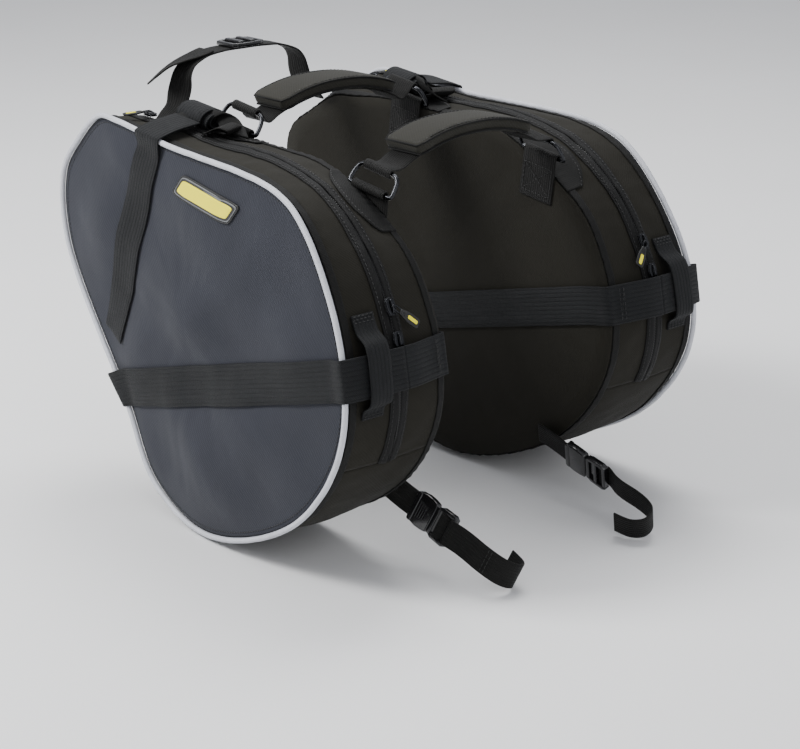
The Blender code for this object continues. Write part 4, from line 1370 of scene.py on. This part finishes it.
# ---- The yoke over the seat ------------------------------------------------------------------
PAD_WIDTH = 0.050
PAD_THICK = 0.011
PAD_REACH = 0.070
PAD_LIFT = WEB_THICK + 0.0006
PAD_STEPS = 44
PAD_TAPER = 0.14
PAD_SECTION = ((-0.97, 0.0), (-0.4, 0.0), (0.4, 0.0), (0.97, 0.0), (0.99, 0.10), (0.99, 0.84),
               (0.965, 0.92), (0.5, 0.96), (0.0, 0.97), (-0.5, 0.96), (-0.965, 0.92),
               (-0.99, 0.84), (-0.99, 0.10))
PAD_SWELL = 0.0016                           # how far the simulated cloth may move
PAD_VOXEL = 0.0028
PAD_PRESSURE = 4.0
PAD_FRAMES = 20
SEAT_REACH = 0.086
SEAT_WEB = 0.036
SEAT_DROP = 0.020
SEAT_LEVEL = {"front": -0.006, "rear": 0.006}


def pad_height(end, y):
    """The level of a pad's underside across the seat."""
    return SEAT_LEVEL[end] - SEAT_DROP * (abs(y) / SEAT_REACH) ** 2.2


def pad_base(end, x, y):
    """A point on the seat strap's underside, and the direction out of the seat there."""
    slope = (pad_height(end, y + 0.001) - pad_height(end, y - 0.001)) / 0.002
    return Vector((x, y, pad_height(end, y))), Vector((0.0, -slope, 1.0)).normalized()


def make_pad(end, x):
    """A padded strap over the seat: cloth swollen by its foam, then its seams and stitches."""
    rings = []
    for k in range(PAD_STEPS + 1):
        y = PAD_REACH * (2.0 * k / PAD_STEPS - 1.0)
        base, up = pad_base(end, x, y)
        base += up * PAD_LIFT
        slim = 1.0 - PAD_TAPER * smooth(0.90, 1.0, abs(y) / PAD_REACH)
        rings.append([base + Vector((a * slim * PAD_WIDTH / 2.0, 0.0, 0.0))
                      + up * (b * PAD_THICK) for a, b in PAD_SECTION])
    points, faces = loft(rings)
    pad = piece(end + "_pad_cloth", points, faces, "pad", None)
    swell(pad)
    weave = pad.data.uv_layers.new(name="weave")
    for loop in pad.data.loops:
        place = pad.data.vertices[loop.vertex_index].co
        weave.data[loop.index].uv = (place.y, place.x + place.z)
    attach(pad, "yoke")
    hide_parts(end + "_seat_pad")
    make_pad_seams(end, x)


def swell(pad):
    """Swells a closed pad with a short cloth simulation, and limits how far it moves."""
    remesh = pad.modifiers.new("remesh", "REMESH")
    remesh.mode = "VOXEL"
    remesh.voxel_size = PAD_VOXEL
    apply_modifiers(pad)
    before = [v.co.copy() for v in pad.data.vertices]
    cloth = pad.modifiers.new("cloth", "CLOTH")
    cloth.settings.use_pressure = True
    cloth.settings.uniform_pressure_force = PAD_PRESSURE
    cloth.settings.effector_weights.gravity = 0.0
    cloth.settings.quality = 4
    scene = bpy.context.scene
    for number in range(1, PAD_FRAMES + 1):
        scene.frame_set(number)
    apply_modifiers(pad)
    scene.frame_set(1)
    for vertex, start in zip(pad.data.vertices, before):
        moved = vertex.co - start
        if moved.length > PAD_SWELL:
            vertex.co = start + moved * (PAD_SWELL / moved.length)
    soft = pad.modifiers.new("soft", "SUBSURF")
    soft.levels = 1
    soft.render_levels = 1
    apply_modifiers(pad)
    for polygon in pad.data.polygons:
        polygon.use_smooth = True


def apply_modifiers(obj):
    """Puts what the modifiers make into the mesh itself."""
    graph = bpy.context.evaluated_depsgraph_get()
    made = bpy.data.meshes.new_from_object(obj.evaluated_get(graph))
    old = obj.data
    name = old.name
    obj.modifiers.clear()
    obj.data = made
    bpy.data.meshes.remove(old)
    made.name = name


def pad_line(end, x, across, rise, inset):
    """A line round the pad's edge at a given height, and the directions out of it."""
    reach = PAD_REACH - inset
    corner = across * (1.0 - PAD_TAPER)
    path, normals = [], []
    for sign in (-1.0, 1.0):
        outline = [(sign * across, y * -sign) for y in spread(-reach * 0.905, reach * 0.905, 46)]
        outline += [(sign * corner, reach * -sign), (0.0, reach * -sign),
                    (-sign * corner, reach * -sign)]
        for share, y in outline:
            base, up = pad_base(end, x, y)
            path.append(base + up * (PAD_LIFT + PAD_THICK * rise)
                        + Vector((share * PAD_WIDTH / 2.0, 0.0, 0.0)))
            normals.append(up)
    return path, normals


def make_pad_seams(end, x):
    """The bound seams along a pad's upper and lower edges, and a row of stitches on top."""
    for tag, rise in (("upper", 0.93), ("lower", 0.09)):
        path, _ = pad_line(end, x, 0.962, rise, 0.0016)
        tube(f"{end}_pad_{tag}_seam", path, 0.0010, "binding", "yoke", slot="pad", closed=True,
             sides=8)
    path, normals = pad_line(end, x, 0.84, 1.015, 0.004)
    stitches(f"{end}_pad_stitches", path + path[:1], normals + normals[:1], "yoke", "pad",
             length=0.0034)


def ring_turn(end, sign):
    """Stations of the webbing's turn round the bow of one side's D-ring."""
    bar, lean = ring_frame(end, sign)
    away = Vector((0.0, -lean.z * sign, abs(lean.y)))
    bow = bar + lean * RING_HEIGHT
    turn = [bow + (lean * math.cos(a) + away * math.sin(a)) * RING_CLEAR
            for a in (0.2, 0.65, 1.1, 1.55, 2.0, 2.45, 2.9)]
    return [flat_station(p, RING_ALONG * (SEAT_WEB / 2.0), (p - bow).normalized()) for p in turn]


def make_seat_webbing(end, x):
    """Webbing under the pad, ending in a turn round the D-ring on each side."""
    steps = 14
    stations = ring_turn(end, 1.0)[::-1]
    for k in range(steps + 1):
        base, up = pad_base(end, x, SEAT_REACH * (2.0 * k / steps - 1.0))
        stations.append(flat_station(base, Vector((SEAT_WEB / 2.0, 0.0, 0.0)), up))
    stations += ring_turn(end, -1.0)
    strap(end + "_yoke_webbing", stations, "fine_webbing", "yoke", node=end + "_seat_webbing",
          samples=4)


# ---- The tail strap --------------------------------------------------------------------------
TAIL_X = -0.232
TAIL_TOP = 0.030
TAIL_RIGHT = [(-0.100, -0.036), (-0.093, -0.029), (-0.084, -0.022), (-0.079, -0.010),
              (-0.076, 0.000), (-0.073, 0.011), (-0.067, 0.019), (-0.056, 0.0245),
              (-0.044, 0.028), (-0.022, 0.0298), (0.0, TAIL_TOP)]
TAIL_SPARE = ((-0.0425, 0.0307, 0.0, 0.0), (-0.050, 0.0290, 0.0, 0.0),
              (-0.060, 0.0258, -0.002, 0.1), (-0.075, 0.0205, -0.007, 0.4),
              (-0.088, 0.0135, -0.012, 0.7), (-0.099, 0.0040, -0.017, 0.8))
FORWARD = Vector((1.0, 0.0, 0.0))


def make_tail_strap():
    """The narrow strap over the tail with a slight twist, and its spare end at one side."""
    route = TAIL_RIGHT + [(-y, z) for y, z in TAIL_RIGHT[-2::-1]]
    stations = []
    for (y, z), way in zip(route, slopes(route)):
        outward = Vector((0.0, -way.y, way.x))
        twist = 0.50 * math.sin(math.pi * smooth(-0.036, 0.024, z)) * (-1.0 if y < 0 else 0.7)
        half = FORWARD * math.cos(twist) + outward * math.sin(twist)
        out = outward * math.cos(twist) - FORWARD * math.sin(twist)
        stations.append(flat_station(Vector((TAIL_X, y, z)), half * (NARROW_WEB / 2.0), out))
    strap("tail_webbing", stations, "fine_webbing", "yoke", node="tail_strap")

    spare = []
    for y, z, back, turn in TAIL_SPARE:
        half = Vector((math.cos(turn), -0.15 * turn, 0.5 * math.sin(turn))).normalized()
        out = Vector((-0.25 * turn, -0.35, 1.0))
        out = (out - half * out.dot(half)).normalized()
        spare.append(flat_station(Vector((TAIL_X + back, y, z)), half * (NARROW_WEB / 2.0), out))
    strap("tail_spare_end", spare, "fine_webbing", "yoke")


def make_tail_buckle():
    """The tail strap's moulded buckle: a curved frame with four bars over the webbing."""
    centre = Vector((TAIL_X, 0.0, TAIL_TOP + WEB_THICK + 0.0006))
    axes = (INBOARD, FORWARD, UP)
    rail = [(-0.0205, 0.0118), (-0.0150, 0.0160), (0.0, 0.0174), (0.0150, 0.0160),
            (0.0205, 0.0118), (0.0170, 0.0105), (0.0, 0.0128), (-0.0170, 0.0105)]
    parts = [slab([(a, sign * b) for a, b in rail], 0.0, 0.0042, centre, axes, "plastic",
                  "tail_buckle", bevel=0.0009) for sign in (-1.0, 1.0)]
    end_bar, middle_bar = (0.0, 0.0042, 0.0045), (0.0010, 0.0058, 0.0060)
    for place, (low, high, wide) in ((-0.0185, end_bar), (-0.0070, middle_bar),
                                     (0.0070, middle_bar), (0.0185, end_bar)):
        parts.append(slab(rounded(wide, 0.0262, 0.0015, 3), low, high, centre + INBOARD * place,
                          axes, "plastic", "tail_buckle", bevel=0.0010, dome=0.0004))
    merged("tail_buckle_frame", parts, node="tail_buckle")


def main():
    for side in SIGNS:
        for make in (make_face, make_gussets, make_back, make_piping, make_zipper,
                     make_girth_strap, make_diagonal_strap, make_strap_bundle, make_keeper,
                     make_label, make_sliders, make_rings, make_anchor):
            make(side)
    for end, x in (("front", RING_X), ("rear", -RING_X)):
        make_pad(end, x)
        make_seat_webbing(end, x)
    make_tail_strap()
    make_tail_buckle()


main()


# ---- Camera, lights and floor ----------------------------------------------------------------
CAMERA_PLACE = (1.5129, -1.3502, 0.4110)
CAMERA_TURN = (71.5, 0.0, 48.0)              # degrees
CAMERA_ANGLE = 21.073
SKY = (0.92, 0.94, 1.0, 1.0)
SKY_STRENGTH = 0.62
LIGHTS = (                                   # place, aim, size in metres, watts
    ("key", (-1.2, -1.9, 1.7), (-0.05, -0.15, -0.18), 0.9, 105.0),
    ("fill", (2.2, -0.6, 0.9), (0.0, -0.1, -0.15), 1.8, 18.0),
    ("top", (-0.6, 0.8, 2.2), (0.0, 0.0, -0.1), 1.4, 55.0))
FLOOR_HALF = 6.0
FLOOR_DROP = 0.002


def make_studio():
    """A camera at the photograph's viewing angle, soft lights and a pale floor."""
    scene = bpy.context.scene
    lens = bpy.data.cameras.new("camera")
    lens.sensor_fit = "HORIZONTAL"
    lens.angle = math.radians(CAMERA_ANGLE)
    camera = bpy.data.objects.new("camera", lens)
    camera.location = CAMERA_PLACE
    camera.rotation_euler = [math.radians(turn) for turn in CAMERA_TURN]
    scene.collection.objects.link(camera)
    scene.camera = camera

    world = bpy.data.worlds.new("studio")
    world.use_nodes = True
    world.node_tree.nodes["Background"].inputs[0].default_value = SKY
    world.node_tree.nodes["Background"].inputs[1].default_value = SKY_STRENGTH
    scene.world = world
    for name, place, aim, size, power in LIGHTS:
        light = bpy.data.lights.new(name, "AREA")
        light.size = size
        light.energy = power
        lamp = bpy.data.objects.new(name, light)
        lamp.location = place
        lamp.rotation_euler = (Vector(aim) - Vector(place)).to_track_quat("-Z", "Y").to_euler()
        scene.collection.objects.link(lamp)

    level = CAD_BOX[0][2] - FLOOR_DROP
    mesh = bpy.data.meshes.new("floor")
    mesh.from_pydata([(x * FLOOR_HALF, y * FLOOR_HALF, level)
                      for x, y in ((-1, -1), (1, -1), (1, 1), (-1, 1))], [], [(0, 1, 2, 3)])
    paint = Shader("floor_paint", 0.8)
    paint.colour(paint.mix(paint.noise(3.0), (0.78, 0.78, 0.78), (0.82, 0.82, 0.82)))
    mesh.materials.append(paint.material)
    floor = bpy.data.objects.new("floor", mesh)
    scene.collection.objects.link(floor)


make_studio()
